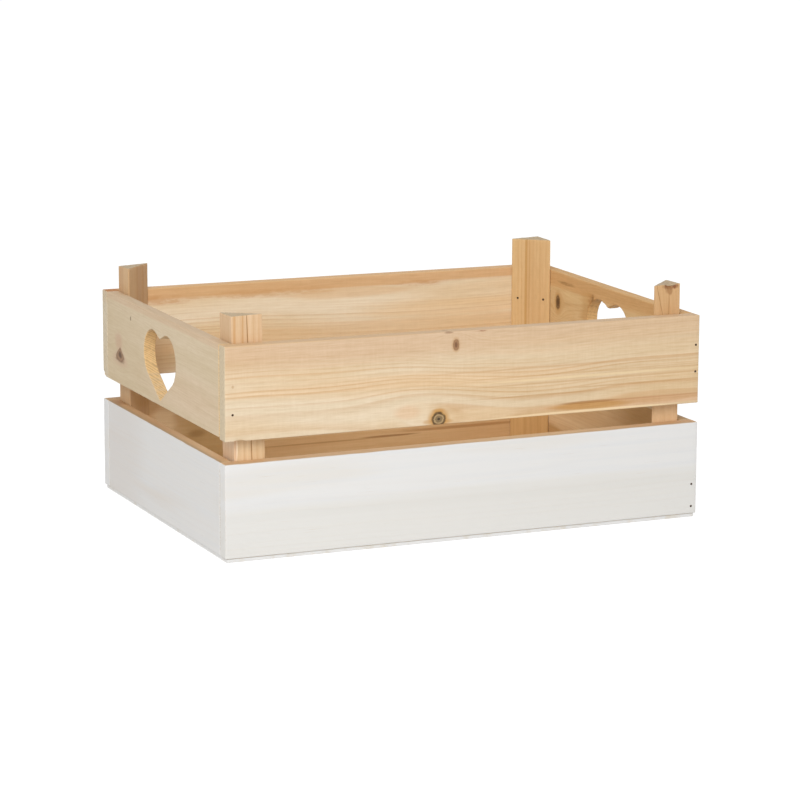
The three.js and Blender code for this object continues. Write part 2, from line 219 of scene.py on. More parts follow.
@dataclass(frozen=True)
class Knot:
    """A branch that the piece was sawn through. Places are (along, across) in the box's frame."""

    along: float
    across: float
    half_length: float
    half_width: float
    body: str = "A28B70"
    rim: str = "5E4630"
    halo: str = "CB9350"
    halo_reach: float = 2.0
    halo_strength: float = 0.8
    shows: bool = True  # or else the saw passed beside it, and only the grain swings round it
    rim_strength: float = 0.85
    heart: str = "2F241A"
    heart_size: float = 0.3  # share of the knot
    rays: float = 0.6  # how dark its cracks are
    years: float = 0.3  # how far its year rings are apart in tone
    taper: float = 0.0  # how much wider it is at its foot than at its middle
    flow: float = 2.2  # how much longer than wide the eye of grain round it is
    push: float = 1.5  # how wide that eye is, in half widths

    def drawn(self, add: Add, grown: Grown, colour: Socket) -> Socket:
        """Draws it over a colour: a halo, a bark rim, year rings, a dark heart and cracks.

        Args:
            add: adds a node to the material's tree.
            grown: the figure at the point.
            colour: what lies under it.

        Returns:
            The colour with it.
        """
        off = grown.off(add, self.along, self.across, self.half_length, self.half_width)
        ahead, side = add(SEPARATE, off).node.outputs[:2]
        wide = add(LARGER, add(TIMES_PLUS, side, -self.taper, 1.0), 0.15)
        reach = add(LENGTH, add(COMBINE, add(OVER, ahead, wide), side))
        reach = add(TIMES_PLUS, add(MINUS, grown.mottle, 0.5), 0.5, reach)
        halo = add(SOFT_RANGE, reach, 0.9, self.halo_reach, self.halo_strength, 0.0)
        colour = add(MIX, halo, colour, self.halo)
        years = add(SINE, add(TIMES_PLUS, reach, 12.0, 0.2))
        years = add(RANGE, years, -1.0, 1.0, 0.9 - self.years, 0.9 + self.years)
        body = add(SCALE, linear(self.body)[:3], years)
        colour = add(MIX, add(SOFT_RANGE, reach, 1.1, 0.8), colour, body)
        rim = add(SIZE, add(MINUS, reach, 0.9))
        rim = add(SOFT_RANGE, rim, 0.06, 0.28, self.rim_strength, 0.0)
        rim = add(TIMES, rim, add(RANGE, grown.saw, 0.35, 0.6, 0.55, 1.0))
        colour = add(MIX, rim, colour, self.rim)
        rays = add(SIZE, add(COSINE, add(TIMES, add(ARCTAN, side, ahead), 2.5)))
        rays = add(RANGE, rays, 0.16, 0.0, 0.0, self.rays)
        rays = add(TIMES, rays, add(RANGE, reach, 0.62, 0.3))
        heart = add(RANGE, reach, self.heart_size + 0.15, self.heart_size - 0.1, 0.0, 0.9)
        return add(MIX, add(LARGER, rays, heart), colour, self.heart)


@dataclass(frozen=True)
class Mark:
    """A stain, streak or scuff, and in some places a patch of painted light or painted shade: a
    soft ellipse that the grain breaks up.
    """

    along: float
    across: float
    half_length: float
    half_width: float
    colour: str
    strength: float = 0.6
    ragged: float = 0.8
    soft: float = 0.8
    broken: float = 0.0  # how much of it the mottle leaves out

    def drawn(self, add: Add, grown: Grown, colour: Socket) -> Socket:
        """Lays it over a colour.

        Args:
            add: adds a node to the material's tree.
            grown: the figure at the point.
            colour: what lies under it.

        Returns:
            The colour with it.
        """
        off = grown.off(add, self.along, self.across, self.half_length, self.half_width)
        uneven = add(MINUS, grown.streak, 0.5)
        reach = add(TIMES_PLUS, uneven, 2 * self.ragged, add(LENGTH, off))
        share = add(SOFT_RANGE, reach, 1 + self.soft / 2, 1 - self.soft / 2, 0.0, self.strength)
        if self.broken > 0:
            left = add(RANGE, grown.mottle, 0.4, 0.56, 1 - self.broken, 1.0)
            share = add(TIMES, share, left)
        return add(MIX, share, colour, self.colour)


@dataclass(frozen=True)
class Check:
    """A drying crack or a scratch, more or less along the grain."""

    across: float
    lean: float
    start: float
    end: float
    width: float
    depth: float
    colour: str

    def share(self, add: Add, grown: Grown) -> Socket:
        """Builds how deep it is at a point, from 0 to 1.

        Args:
            add: adds a node to a tree.
            grown: the figure at the point.

        Returns:
            The share of its full depth.
        """
        off = add(TIMES_PLUS, grown.along, -self.lean, grown.across)
        off = add(TIMES_PLUS, grown.streak, 1.2, off)
        off = add(SIZE, add(MINUS, off, self.across + 0.6 - self.lean * self.end))
        share = add(RANGE, off, self.width / 2, self.width, 1.0, 0.0)
        share = add(TIMES, share, add(RANGE, grown.along, self.start, self.start + 12))
        return add(TIMES, share, add(RANGE, grown.along, self.end, self.end + 1, 1.0, 0.0))

    def drawn(self, add: Add, grown: Grown, colour: Socket) -> Socket:
        """Darkens a colour with it."""
        return add(MIX, self.share(add, grown), colour, self.colour)


@dataclass(frozen=True)
class Chip:
    """A place where wood broke out of an edge."""

    centre: Point
    radius: float
    depth: float


@dataclass(frozen=True)
class Figure:
    """How a piece lay in its log. The growth rings are shells round the pith, cut by the faces.

    The same figure is built into a piece's shader and into the Geometry Nodes tree that shapes it,
    so that its colour and its relief agree.
    """

    grain: Grain
    pith: tuple[float, float]  # across, through
    ring: float = 2.6
    seed: float = 0.0
    lean: tuple[float, float] = (0.0, 0.0)  # how far the pith moves per mm along
    wander: float = 5.0
    calm: Point = (1000.0, 1001.0, 1.0)  # from, to, what is left of the lines
    bends: tuple[Point, ...] = ()  # where the grain swings aside: along, half length, how far
    knots: tuple[Knot, ...] = ()
    fibre: tuple[float, float] = (26.0, 0.9)  # real fibres are finer: this is as fine as shows
    streak: tuple[float, float] = (150.0, 4.5)  # these are lengths along the grain, and across it
    zone: tuple[float, float] = (240.0, 24.0)
    mottle: tuple[float, float] = (9.0, 2.4)
    saw: tuple[float, float] = (1.5, 16.0)  # the marks of the saw's teeth run across the grain
    wave: tuple[float, float] = (260.0, 85.0)

    def noise(
        self, add: Add, place: Socket, patch: tuple[float, float], detail: float, output: int = 0
    ) -> Socket:
        """Adds noise that is stretched along the grain, about 0.5 on average.

        Args:
            add: adds a node to the tree.
            place: (along, across, through) in mm.
            patch: the size of its patches along and across the grain.
            detail: octaves of finer noise.
            output: 0 for one number, 1 for a colour.

        Returns:
            The noise.
        """
        length, width = patch
        shift = (self.seed, 1.7 * self.seed, 0.4 * self.seed)
        scaled = add(V_TIMES_PLUS, place, (1 / length, 1 / width, 1 / width), shift)
        return add(NOISE, scaled, 1.0, detail, 0.55, output=output)

    def parted(self, add: Add, along: Socket, across: Socket) -> Socket:
        """Moves the across coordinate at bends, and round knots, as water parts round a pile.

        Args:
            add: adds a node to a tree.
            along: the place along the grain.
            across: the place across it.

        Returns:
            The place across, moved.
        """
        for place, reach, lift in self.bends:
            far = add(OVER, add(MINUS, along, place), reach)
            bell = add(POWER, math.exp(-1), add(TIMES, far, far))
            across = add(TIMES_PLUS, bell, -lift, across)
        for knot in self.knots:
            size = (knot.push * knot.half_width) ** 2
            side = add(MINUS, across, knot.across)
            ahead = add(OVER, add(MINUS, along, knot.along), knot.flow)
            far = add(TIMES_PLUS, side, side, add(TIMES, ahead, ahead))
            share = add(MINUS, 1.0, add(OVER, size, add(LARGER, far, 1.05 * size)))
            across = add(TIMES_PLUS, side, share, knot.across)
        return across

    def grow(self, add: Add, position: Socket) -> Grown:
        """Builds the figure into a shader tree or a Geometry Nodes tree.

        Args:
            add: adds a node to the tree.
            position: where a point of the piece is, in metres.

        Returns:
            The sockets that colour and relief are made from.
        """
        axes = add(SEPARATE, add(SCALE, position, 1 / MM)).node.outputs
        along, across, through = (axes[i] for i in self.grain.value)
        place = add(COMBINE, along, across, through)
        drift = add(V_MINUS, self.noise(add, place, self.wave, 2, 1), (0.5, 0.5, 0.5))
        moved = add(V_TIMES_PLUS, drift, (0, 2 * self.wander, 2 * self.wander), place)
        parts = add(SEPARATE, moved).node.outputs
        side = self.parted(add, along, parts[1])

        rings_side = add(TIMES_PLUS, along, -self.lean[0], side)
        rings_deep = add(TIMES_PLUS, along, -self.lean[1], parts[2])
        from_pith = add(V_MINUS, add(COMBINE, 0.0, rings_side, rings_deep), (0, *self.pith))
        radius = add(LENGTH, from_pith)
        # Wet and dry years: the rings come in groups of wide and of narrow ones.
        years = add(COMBINE, add(TIMES, radius, 1 / (4.3 * self.ring)), self.seed)
        uneven = add(TIMES_PLUS, add(NOISE, years, 1.0, 2.0), 3.2 * self.ring, radius)
        count = add(TIMES, uneven, 1 / self.ring)
        share = add(FRACTION, count)

        # Latewood darkens towards the end of the year and stops short.
        rise = add(POWER, add(SOFT_RANGE, share, 0.3, 0.9), 1.6)
        late = add(TIMES, rise, add(RANGE, share, 0.9, 1.0, 1.0, 0.0))
        year = add(COMBINE, add(FLOOR, count), add(TIMES, along, 1 / 230))
        vigour = add(RANGE, add(NOISE, year, 0.73, 1.0), 0.36, 0.68, 0.12, 1.0)
        calm = add(SOFT_RANGE, side, *self.calm[:2], 1.0, self.calm[2])
        line = add(TIMES, add(TIMES, late, vigour), calm)
        lie = add(COMBINE, along, side, parts[2])
        return Grown(
            place, along, across, through, line, ring=late,
            fibre=self.noise(add, place, self.fibre, 2), saw=self.noise(add, place, self.saw, 2),
            mottle=self.noise(add, place, self.mottle, 3),
            streak=self.noise(add, lie, self.streak, 3), zone=self.noise(add, lie, self.zone, 1),
        )


# ---------------------------------------------------------------- finishes


class Finish:
    """A finish as a material. Each kind says what goes into its shader."""

    def surface(self, add: Add, place: Socket, normal: Socket) -> dict[str, Any]:
        """Builds what goes into the shader.

        Args:
            add: adds a node to the shader tree.
            place: where a point of the piece is, in metres.
            normal: the way that the surface faces there.

        Returns:
            The Principled shader's inputs by name.
        """
        raise NotImplementedError

    def material(self, name: str) -> Material:
        """Builds the finish as a material.

        Args:
            name: the material's name.

        Returns:
            The material.
        """
        made, add = new_material(name)
        source = add("ShaderNodeTexCoord").node.outputs
        inputs = self.surface(add, source["Object"], source["Normal"])
        add("ShaderNodeOutputMaterial", add("ShaderNodeBsdfPrincipled", inputs=inputs))
        return made


@dataclass(frozen=True)
class SawnPine(Finish):
    """Sawn and sanded pine, left bare.

    Earlywood is cream, latewood a thin amber line, and where the saw left the heart the wood turns
    pink. The surface is matt, with a faint gloss along the fibres, and its ends drink in light.
    """

    figure: Figure
    cream: str = "E9D2A8"
    blush: str = "DDBE9A"
    latewood: str = "C79A62"
    end_wood: str = "CFC0A6"
    end_contrast: float = 0.2
    latewood_depth: float = 0.5
    streak_depth: float = 0.12
    fibre_depth: float = 0.10
    mottle_depth: float = 0.05
    saw_depth: float = 0.03
    tones: tuple[Mark, ...] = ()  # broad changes of colour, under the lines; on the posts and the back lower board, some are painted light and painted shade where they show through the gaps
    marks: tuple[Mark, ...] = ()
    checks: tuple[Check, ...] = ()
    roughness: float = 0.68
    relief: float = 0.05  # mm, how far latewood stands above earlywood

    def colour(self, add: Add, grown: Grown, normal: Socket) -> Socket:
        """Builds the colour of the bare wood.

        Args:
            add: adds a node to the shader tree.
            grown: the piece's figure.
            normal: the way that the surface faces, in the piece's frame.

        Returns:
            The colour's socket.
        """
        colour = add(MIX, add(RANGE, grown.zone, 0.40, 0.62), self.cream, self.blush)
        for tone in self.tones:
            colour = tone.drawn(add, grown, colour)
        colour = add(MIX, add(TIMES, grown.line, self.latewood_depth), colour, self.latewood)
        layers = ((grown.streak, self.streak_depth), (grown.fibre, self.fibre_depth),
                  (grown.mottle, self.mottle_depth), (grown.saw, self.saw_depth))
        shade = 1 + sum(depth for _, depth in layers)
        for noise, depth in layers:
            shade = add(TIMES_PLUS, noise, -2 * depth, shade)
        # Darker wood is also the warmer wood.
        tone = add(COMBINE, add(POWER, shade, 0.75), shade, add(POWER, shade, 1.5))
        colour = add(V_TIMES, colour, tone)
        knots = [knot for knot in self.figure.knots if knot.shows]
        for drawn in (*self.marks, *knots, *self.checks):
            colour = drawn.drawn(add, grown, colour)
        axis = [float(i == self.figure.grain.value[0]) for i in range(3)]
        end = add(RANGE, add(SIZE, add(DOT, normal, axis)), 0.25, 0.6, 0.0, 0.85)
        broken = add(RANGE, grown.mottle, 0.35, 0.6, 0.45, 1.2)
        rings = add(TIMES, grown.ring, broken)
        rings = add(RANGE, rings, 0.0, 1.0, 1.03, 1.03 - self.end_contrast)
        pores = add(RANGE, grown.mottle, 0.3, 0.7, 1.06, 0.92)
        rings = add(TIMES, rings, pores)
        return add(MIX, end, colour, add(SCALE, linear(self.end_wood)[:3], rings))

    def bump(self, add: Add, grown: Grown) -> Socket:
        """Builds the fine relief that the mesh is too coarse for.

        Args:
            add: adds a node to the material's tree.
            grown: the figure at the point.

        Returns:
            The normal with the relief.
        """
        height = add(TIMES_PLUS, grown.fibre, 0.9, grown.line)
        inputs = {"Strength": 0.6, "Distance": self.relief * MM, "Height": height}
        return add("ShaderNodeBump", inputs=inputs)

    def surface(self, add: Add, place: Socket, normal: Socket) -> dict[str, Any]:
        """Builds what goes into the shader.

        Args:
            add: adds a node to the material's tree.
            place: the point, in object coordinates.
            normal: the face's normal there.

        Returns:
            The shader's inputs, by name.
        """
        grown = self.figure.grow(add, place)
        rough = add(TIMES_PLUS, grown.fibre, 0.2, self.roughness - 0.1)
        return {"Base Color": self.colour(add, grown, normal), "Roughness": rough, "IOR": 1.46,
                "Specular IOR Level": 0.35, "Normal": self.bump(add, grown)}


@dataclass(frozen=True)
class WhiteRolledPine(Finish):
    """Pine with one thin coat of white wall paint, rolled on the outer face and the ends.

    The coat is flat and even, the grain shows through it as faint warm and cool bands, and it
    breaks along the arrises, where the roller pressed it off.
    """

    wood: SawnPine
    side: int  # the way that the painted face looks along its axis
    reach: float  # how far that face is from the middle of the box
    ends_at: float | None = None  # half the length, where the ends show and are painted too
    tones: tuple[Mark, ...] = ()  # darker, warmer patches laid over the coat, such as its lower half on the front
    paint: str = "E2E1DF"
    warm: str = "DFDBD4"
    cool: str = "DBDCDD"
    soiled: str = "BCA688"  # bare wood beside the coat, grey with thinned paint and handling
    soiled_share: float = 0.6
    bare_edge: float = 0.75  # mm of arris where the coat thins out
    thinning: float = 0.35
    roughness: float = 0.55

    def painted(self, add: Add, grown: Grown) -> tuple[Socket, Socket]:
        """Builds where the paint is and where it soiled the wood, each from 0 to 1.

        Args:
            add: adds a node to the material's tree.
            grown: the figure at the point.

        Returns:
            The two shares.
        """
        edge = (self.bare_edge + self.thinning, self.bare_edge)
        ragged = add(TIMES, grown.fibre, 0.8)
        depth = add(MINUS, self.reach, add(TIMES, grown.through, self.side))
        depth = add(PLUS, depth, ragged)
        # The roller was pushed round the bottom arris.
        depth = add(MINUS, depth, add(RANGE, grown.across, 4.0, 8.0, 1.6, 0.0))
        share = add(RANGE, depth, *edge)
        soil = add(RANGE, depth, 5.0, 1.2, 0.0, self.soiled_share)
        if self.ends_at:
            off = add(MINUS, self.ends_at, add(SIZE, grown.along))
            share = add(LARGER, share, add(RANGE, add(PLUS, off, ragged), *edge))
        return share, soil

    def surface(self, add: Add, place: Socket, normal: Socket) -> dict[str, Any]:
        """Builds what goes into the shader.

        Args:
            add: adds a node to the material's tree.
            place: the point, in object coordinates.
            normal: the face's normal there.

        Returns:
            The shader's inputs, by name.
        """
        grown = self.wood.figure.grow(add, place)
        coat = add(MIX, add(RANGE, grown.zone, 0.52, 0.36, 0.0, 0.7), self.paint, self.warm)
        coat = add(MIX, add(RANGE, grown.streak, 0.45, 0.7, 0.0, 0.5), coat, self.cool)
        for tone in self.tones:
            coat = tone.drawn(add, grown, coat)
        coat = add(MIX, add(TIMES, grown.line, 0.035), coat, self.wood.latewood)
        share, soil = self.painted(add, grown)
        bare = add(MIX, soil, self.wood.colour(add, grown, normal), self.soiled)
        rough = add(RANGE, share, 0.0, 1.0, self.wood.roughness, self.roughness)
        return {"Base Color": add(MIX, share, bare, coat), "Roughness": rough, "IOR": 1.48,
                "Specular IOR Level": 0.4, "Normal": self.wood.bump(add, grown)}


@dataclass(frozen=True)
class WhiteFacedPly(Finish):
    """Thin plywood, faced white underneath, with white sealed edges and a bare inner side."""

    wood: SawnPine
    face: str = "E4E3E1"
    worn: str = "D8D0C2"
    worn_patch: float = 9.0  # mm
    roughness: float = 0.42

    def surface(self, add: Add, place: Socket, normal: Socket) -> dict[str, Any]:
        """Builds what goes into the shader.

        Args:
            add: adds a node to the material's tree.
            place: the point, in object coordinates.
            normal: the face's normal there.

        Returns:
            The shader's inputs, by name.
        """
        grown = self.wood.figure.grow(add, place)
        scuffs = add(NOISE, add(SCALE, grown.place, 1 / self.worn_patch), 1.0, 4.0)
        coat = add(MIX, add(RANGE, scuffs, 0.5, 0.7, 0.0, 0.8), self.face, self.worn)
        share = add(RANGE, add(SEPARATE, normal).node.outputs[2], 0.5, 0.8, 1.0, 0.0)
        bare = self.wood.colour(add, grown, normal)
        rough = add(RANGE, share, 0.0, 1.0, self.wood.roughness, self.roughness)
        return {"Base Color": add(MIX, share, bare, coat), "Roughness": rough,
                "Normal": self.wood.bump(add, grown)}


@dataclass(frozen=True)
class WireSteel(Finish):
    """Bright steel wire, cut and headed, gone dull grey-brown with a little rust on the heads."""

    steel: str = "473A2E"
    rust: str = "4E3423"
    rust_patch: float = 0.7  # mm
    roughness: float = 0.45

    def surface(self, add: Add, place: Socket, normal: Socket) -> dict[str, Any]:
        """Builds what goes into the shader.

        Args:
            add: adds a node to the material's tree.
            place: the point, in object coordinates.
            normal: the face's normal there; not used.

        Returns:
            The shader's inputs, by name.
        """
        patches = add(NOISE, add(SCALE, place, 1 / (self.rust_patch * MM)), 1.0, 3.0)
        rusty = add(RANGE, patches, 0.40, 0.55, 0.0, 0.95)
        pits = {"Strength": 0.5, "Distance": 0.05 * MM, "Height": patches}
        return {"Base Color": add(MIX, rusty, self.steel, self.rust),
                "Roughness": add(RANGE, rusty, 0.0, 1.0, self.roughness, 0.8),
                "Metallic": add(RANGE, rusty, 0.0, 1.0, 0.9, 0.2),
                "Normal": add("ShaderNodeBump", inputs=pits)}


# ---------------------------------------------------------------- shapes


class ShapeTree:
    """A Geometry Nodes tree with named inputs, which ends in Realize Instances and Set Material."""

    INPUTS: dict[str, tuple[str, ...]] = {}  # their names, by the type of their sockets

    def __init__(self, name: str) -> None:
        """Starts the tree.

        Args:
            name: the tree's name.
        """
        self.tree = bpy.data.node_groups.new(name, "GeometryNodeTree")
        self.add = partial(add_node, self.tree)
        self.identifiers: dict[str, str] = {}
        sockets = self.tree.interface
        sockets.new_socket("Geometry", in_out="OUTPUT", socket_type="NodeSocketGeometry")
        wanted = {"Geometry": ("Geometry",), **self.INPUTS, "Material": ("Material",)}
        for kind, titles in wanted.items():
            for title in titles:
                made = sockets.new_socket(title, in_out="INPUT", socket_type=f"NodeSocket{kind}")
                self.identifiers[title] = made.identifier
        self.given = self.tree.nodes.new("NodeGroupInput").outputs

    def finish(self, geometry: Socket) -> None:
        """Closes the tree on its last geometry.

        Args:
            geometry: what the tree made.
        """
        smooth = self.add("GeometryNodeSetShadeSmooth", geometry)
        real = self.add("GeometryNodeRealizeInstances", smooth)
        material = {"Material": self.given["Material"]}
        self.add("NodeGroupOutput", self.add("GeometryNodeSetMaterial", real, inputs=material))

    def shape(self, name: str, values: dict[str, Any], base: Mesh | None = None) -> Object:
        """Makes an object of what the tree gives for some values.

        Args:
            name: the object's name.
            values: each input's value, by its name.
            base: the mesh that the tree starts from, where it needs one.

        Returns:
            The object, with a plain mesh.
        """
        piece = new_object(name, base or bpy.data.meshes.new(name))
        modifier = piece.modifiers.new(self.tree.name, "NODES")
        modifier.node_group = self.tree
        for title, value in values.items():
            modifier[self.identifiers[title]] = value
        piece.update_tag()
        return settle(piece)


@dataclass(frozen=True)
class Surface:
    """How uneven a sawn face is, in mm. All of it goes inwards, so the piece keeps its size."""

    skin: float = 0.04  # how far the whole face lies inside the size it was sawn to, at least
    swell: float = 0.14  # slow waves left by the saw
    swell_size: tuple[float, float] = (70.0, 28.0)  # along and across the grain
    grain: float = 0.06  # earlywood, worn lower than latewood
    fuzz: float = 0.04
    worn: float = 0.28  # the most that an arris is rubbed off
    worn_size: tuple[float, float] = (14.0, 5.0)

    def inward(self, add: Add, piece: "SawnPiece", arris: Socket) -> Socket:
        """Builds how many millimetres a point of a piece lies inside its sawn size.

        Args:
            add: adds a node to the Geometry Nodes tree.
            piece: the piece, with its figure, drying cracks and chips.
            arris: 0 on a face, 1 on an edge.

        Returns:
            The length.
        """
        figure, position = piece.wood.figure, add(POSITION)
        grown = figure.grow(add, position)
        waves = figure.noise(add, grown.place, self.swell_size, 1)
        low = add(TIMES_PLUS, waves, self.swell, self.skin)
        low = add(TIMES_PLUS, add(MINUS, 1.0, grown.line), self.grain, low)
        low = add(TIMES_PLUS, grown.fibre, self.fuzz, low)
        rubbed = figure.noise(add, grown.place, self.worn_size, 2)
        rubbed = add(RANGE, rubbed, 0.35, 0.75, 0.0, self.worn)
        low = add(TIMES_PLUS, rubbed, arris, low)
        for check in piece.wood.checks:
            low = add(TIMES_PLUS, check.share(add, grown), check.depth, low)
        for chip in piece.chips:
            reach = chip.radius * MM
            far = add(DISTANCE, position, [c * MM for c in chip.centre])
            torn = add(TIMES_PLUS, rubbed, -2.2 * MM, far)
            low = add(PLUS, low, add(SOFT_RANGE, torn, reach, 0.35 * reach, 0.0, chip.depth))
        return low


class SawnTree(ShapeTree):
    """A tree whose last step gives a piece the relief of sawn wood."""

    SEAM = 0.0  # mm, how near points at a seam lie that are made one

    def weather(self, sheet: Socket, place: Socket, arris: Socket, piece: "SawnPiece") -> None:
        """Closes the tree.

        Args:
            sheet: the mesh.
            place: where each of its points goes.
            arris: how near the point is to an edge, from 0 to 1.
            piece: the piece that is made.
        """
        add = self.add
        values = {"Name": "arris", "Value": arris}
        sheet = add("GeometryNodeStoreNamedAttribute", sheet, inputs=values, data_type="FLOAT")
        sheet = add(SET_POSITION, sheet, inputs={"Position": place})
        if self.SEAM:
            sheet = add("GeometryNodeMergeByDistance", sheet, inputs={"Distance": self.SEAM * MM})
        stored = add("GeometryNodeInputNamedAttribute", "arris", data_type="FLOAT")
        depth = add(TIMES, piece.surface.inward(add, piece, stored), -MM)
        sink = add(SCALE, add("GeometryNodeInputNormal"), depth)
        self.finish(add(SET_POSITION, sheet, inputs={"Offset": sink}))


class PlankTree(SawnTree):
    """A sawn plank: a block of cells, closer together at its rounded arrises, with its relief."""

    INPUTS = {
        "Vector": ("Centre", "Size"),
        "Int": ("Cells X", "Cells Y", "Cells Z", "Arris Rows"),
        "Float": ("Arris", "Low End Drop", "High End Drop"),
    }

    def __init__(self, piece: "Plank") -> None:
        """Builds the tree for a plank.

        Args:
            piece: the plank, for its name and its wood.
        """
        super().__init__(piece.name)
        add, given = self.add, self.given
        arris, centre, size = given["Arris"], given["Centre"], given["Size"]
        counts = [given[f"Cells {axis}"] for axis in "XYZ"]
        cells = add(COMBINE, *counts)
        block = add("GeometryNodeMeshCube", cells, *(add(PLUS, count, 1.0) for count in counts))
        # In the block a cell is 1 wide. This says which row a point is in, from the middle.
        place = add(POSITION)
        row = add(V_SIZE, place)
        sign = add(V_OVER, place, add(V_LARGER, row, (1e-6, 1e-6, 1e-6)))
        rows = add(COMBINE, *[given["Arris Rows"]] * 3)
        flat = add(V_MINUS, add(SCALE, cells, 0.5), rows)
        share = add(V_SMALLER, add(V_OVER, row, flat), (1, 1, 1))
        past = add(V_LARGER, add(V_OVER, add(V_MINUS, row, flat), rows), (0, 0, 0))
        turn = add(V_TANGENT, add(SCALE, past, math.pi / 4))
        out = add(V_UNIT, add(V_TIMES, turn, sign))
        core = add(V_MINUS, add(SCALE, size, 0.5), add(COMBINE, arris, arris, arris))
        core = add(V_TIMES_PLUS, add(V_TIMES, core, share), sign, centre)
        there = add(V_PLUS, core, add(SCALE, out, arris))
        # The top edge was ripped out of line: it falls by one amount at each end.
        off = add(V_OVER, add(V_MINUS, there, centre), size)
        shares = add(SEPARATE, add(V_PLUS, off, (0.5, 0.5, 0.5))).node.outputs
        along = shares[piece.wood.figure.grain.value[0]]
        drop = add(RANGE, along, 0.0, 1.0, given["Low End Drop"], given["High End Drop"])
        drop = add(COMBINE, 0.0, 0.0, add(TIMES, drop, shares[2]))
        edge = add(RANGE, add(LENGTH, past), 1.0, math.sqrt(2))
        self.weather(block, add(V_MINUS, there, drop), edge, piece)


class PostTree(SawnTree):
    """A sawn post: its section swept upwards, its ends eased, its top cut out of square.

    The section comes in as a loop of edges. Its eased edges and its end faces are rows that draw in
    towards the one point that lies equally far from the three long sides.
    """

    INPUTS = {
        "Int": ("Columns", "Rows", "End Rows", "Arris Rows"),
        "Float": ("Arris", "Corner Radius", "Middle To Side", "Bottom", "Top", "Lean"),
        "Vector": ("Middle", "Corner", "Slant"),
    }
    SEAM = 0.002

    def __init__(self, piece: "Post") -> None:
        """Builds the tree for a post.

        Args:
            piece: the post, for its name and its wood.
        """
        super().__init__(piece.name)
        add, given = self.add, self.given
        arris, bottom, middle = given["Arris"], given["Bottom"], given["Middle"]
        columns, end_rows, arris_rows = given["Columns"], given["End Rows"], given["Arris Rows"]
        section = add("GeometryNodeMeshToCurve", given["Geometry"])
        section = add("GeometryNodeFilletCurve", section, mode="POLY",
                      inputs={"Count": 3, "Radius": given["Corner Radius"]})
        last = add(MINUS, given["Rows"], 1.0)
        sheet = add("GeometryNodeMeshGrid", columns, last, add(PLUS, columns, 1.0), given["Rows"])
        place = add(SEPARATE, add(POSITION)).node.outputs
        turn = add(PLUS, add(OVER, place[0], columns), 0.5)
        row = add(TIMES_PLUS, last, 0.5, place[1])
        from_top = add(MINUS, last, row)
        from_end = add(SMALLER, row, from_top)
        past_end = add(MINUS, from_end, end_rows)
        drawn = add(OVER, from_end, end_rows, use_clamp=True)
        angle = add(TIMES, add(OVER, past_end, arris_rows, use_clamp=True), math.pi / 2)
        inset = add(OVER, arris, given["Middle To Side"])
        swell = add(TIMES, inset, add(SINE, angle))
        scale = add(TIMES_PLUS, add(MINUS, 1.0, inset), drawn, swell)
        lead = add(PLUS, end_rows, arris_rows)
        body = add(TIMES_PLUS, lead, -2.0, last)
        climb = add(OVER, add(MINUS, row, lead), body, use_clamp=True)
        tall = add(TIMES_PLUS, arris, -2.0, add(MINUS, given["Top"], bottom))
        height = add(TIMES_PLUS, climb, tall, add(PLUS, bottom, arris))
        way = add(SIGN, add(MINUS, row, from_top))
        height = add(TIMES_PLUS, way, add(TIMES, add(COSINE, angle), arris), height)
        outline = add("GeometryNodeSampleCurve", section, inputs={"Factor": turn},
                      output="Position", mode="FACTOR")
        flat = add(V_PLUS, add(SCALE, add(V_MINUS, outline, middle), scale), middle)
        tilt = add(DOT, add(V_MINUS, flat, given["Corner"]), given["Slant"])
        height = add(TIMES_PLUS, tilt, climb, height)
        lean = add(TIMES, add(MINUS, height, bottom), given["Lean"])
        edge = add(RANGE, add(SIZE, past_end), 0.0, 3.0, 1.0, 0.15)
        self.weather(sheet, add(V_PLUS, flat, add(COMBINE, lean, 0.0, height)), edge, piece)


class BradTree(ShapeTree):
    """Round brads, one at each point that comes in: a crowned head, a shank and a point."""

    INPUTS = {
        "Vector": ("Direction",),
        "Float": ("Length", "Lean", "Head Radius", "Head Thickness", "Shank Radius",
                  "Point Length"),
        "Int": ("Sides", "Seed"),
    }
    FLAT = 0.75  # the flat middle of the head, as a share of its radius
    CROWN = 0.12  # the rise of its crown, as a share of its thickness

    def __init__(self) -> None:
        """Builds the tree."""
        super().__init__("brads")
        add, given = self.add, self.given
        head, thick = given["Head Radius"], given["Head Thickness"]
        shank, length = given["Shank Radius"], given["Length"]
        rings = [
            (0.0, 0.0), (add(TIMES, head, self.FLAT), 0.0), (head, add(TIMES, thick, self.CROWN)),
            (head, thick), (shank, add(PLUS, thick, 0.02 * MM)),
            (shank, add(MINUS, length, given["Point Length"])), (0.0, length),
        ]
        last = len(rings) - 1
        tube = add("GeometryNodeMeshCylinder", fill_type="NONE",
                   inputs={"Vertices": given["Sides"], "Side Segments": last, "Radius": 1.0,
                           "Depth": float(last)})
        x, y, z = add(SEPARATE, add(POSITION)).node.outputs
        switch = add("GeometryNodeIndexSwitch", data_type="VECTOR").node
        while len(switch.index_switch_items) < len(rings):
            switch.index_switch_items.new()
        self.tree.links.new(add(ROUND, add(PLUS, z, last / 2)), switch.inputs[0])
        for i, (radius, depth) in enumerate(rings):
            self.tree.links.new(add(COMBINE, radius, radius, depth), switch.inputs[i + 1])
        there = add(V_TIMES, add(COMBINE, x, y, 1.0), switch.outputs[0])
        tube = add(SET_POSITION, tube, inputs={"Position": there})
        tube = add("GeometryNodeMergeByDistance", tube, inputs={"Distance": 0.001 * MM})
        most = add(COMBINE, *[given["Lean"]] * 3)
        lean = add("FunctionNodeRandomValue", add(SCALE, most, -1.0), most,
                   data_type="FLOAT_VECTOR", inputs={"Seed": given["Seed"]})
        way = add(V_PLUS, given["Direction"], lean)
        turn = add("FunctionNodeAlignRotationToVector", inputs={"Vector": way}, axis="Z")
        self.finish(add("GeometryNodeInstanceOnPoints", given["Geometry"],
                        inputs={"Instance": tube, "Rotation": turn}))


# ---------------------------------------------------------------- pieces


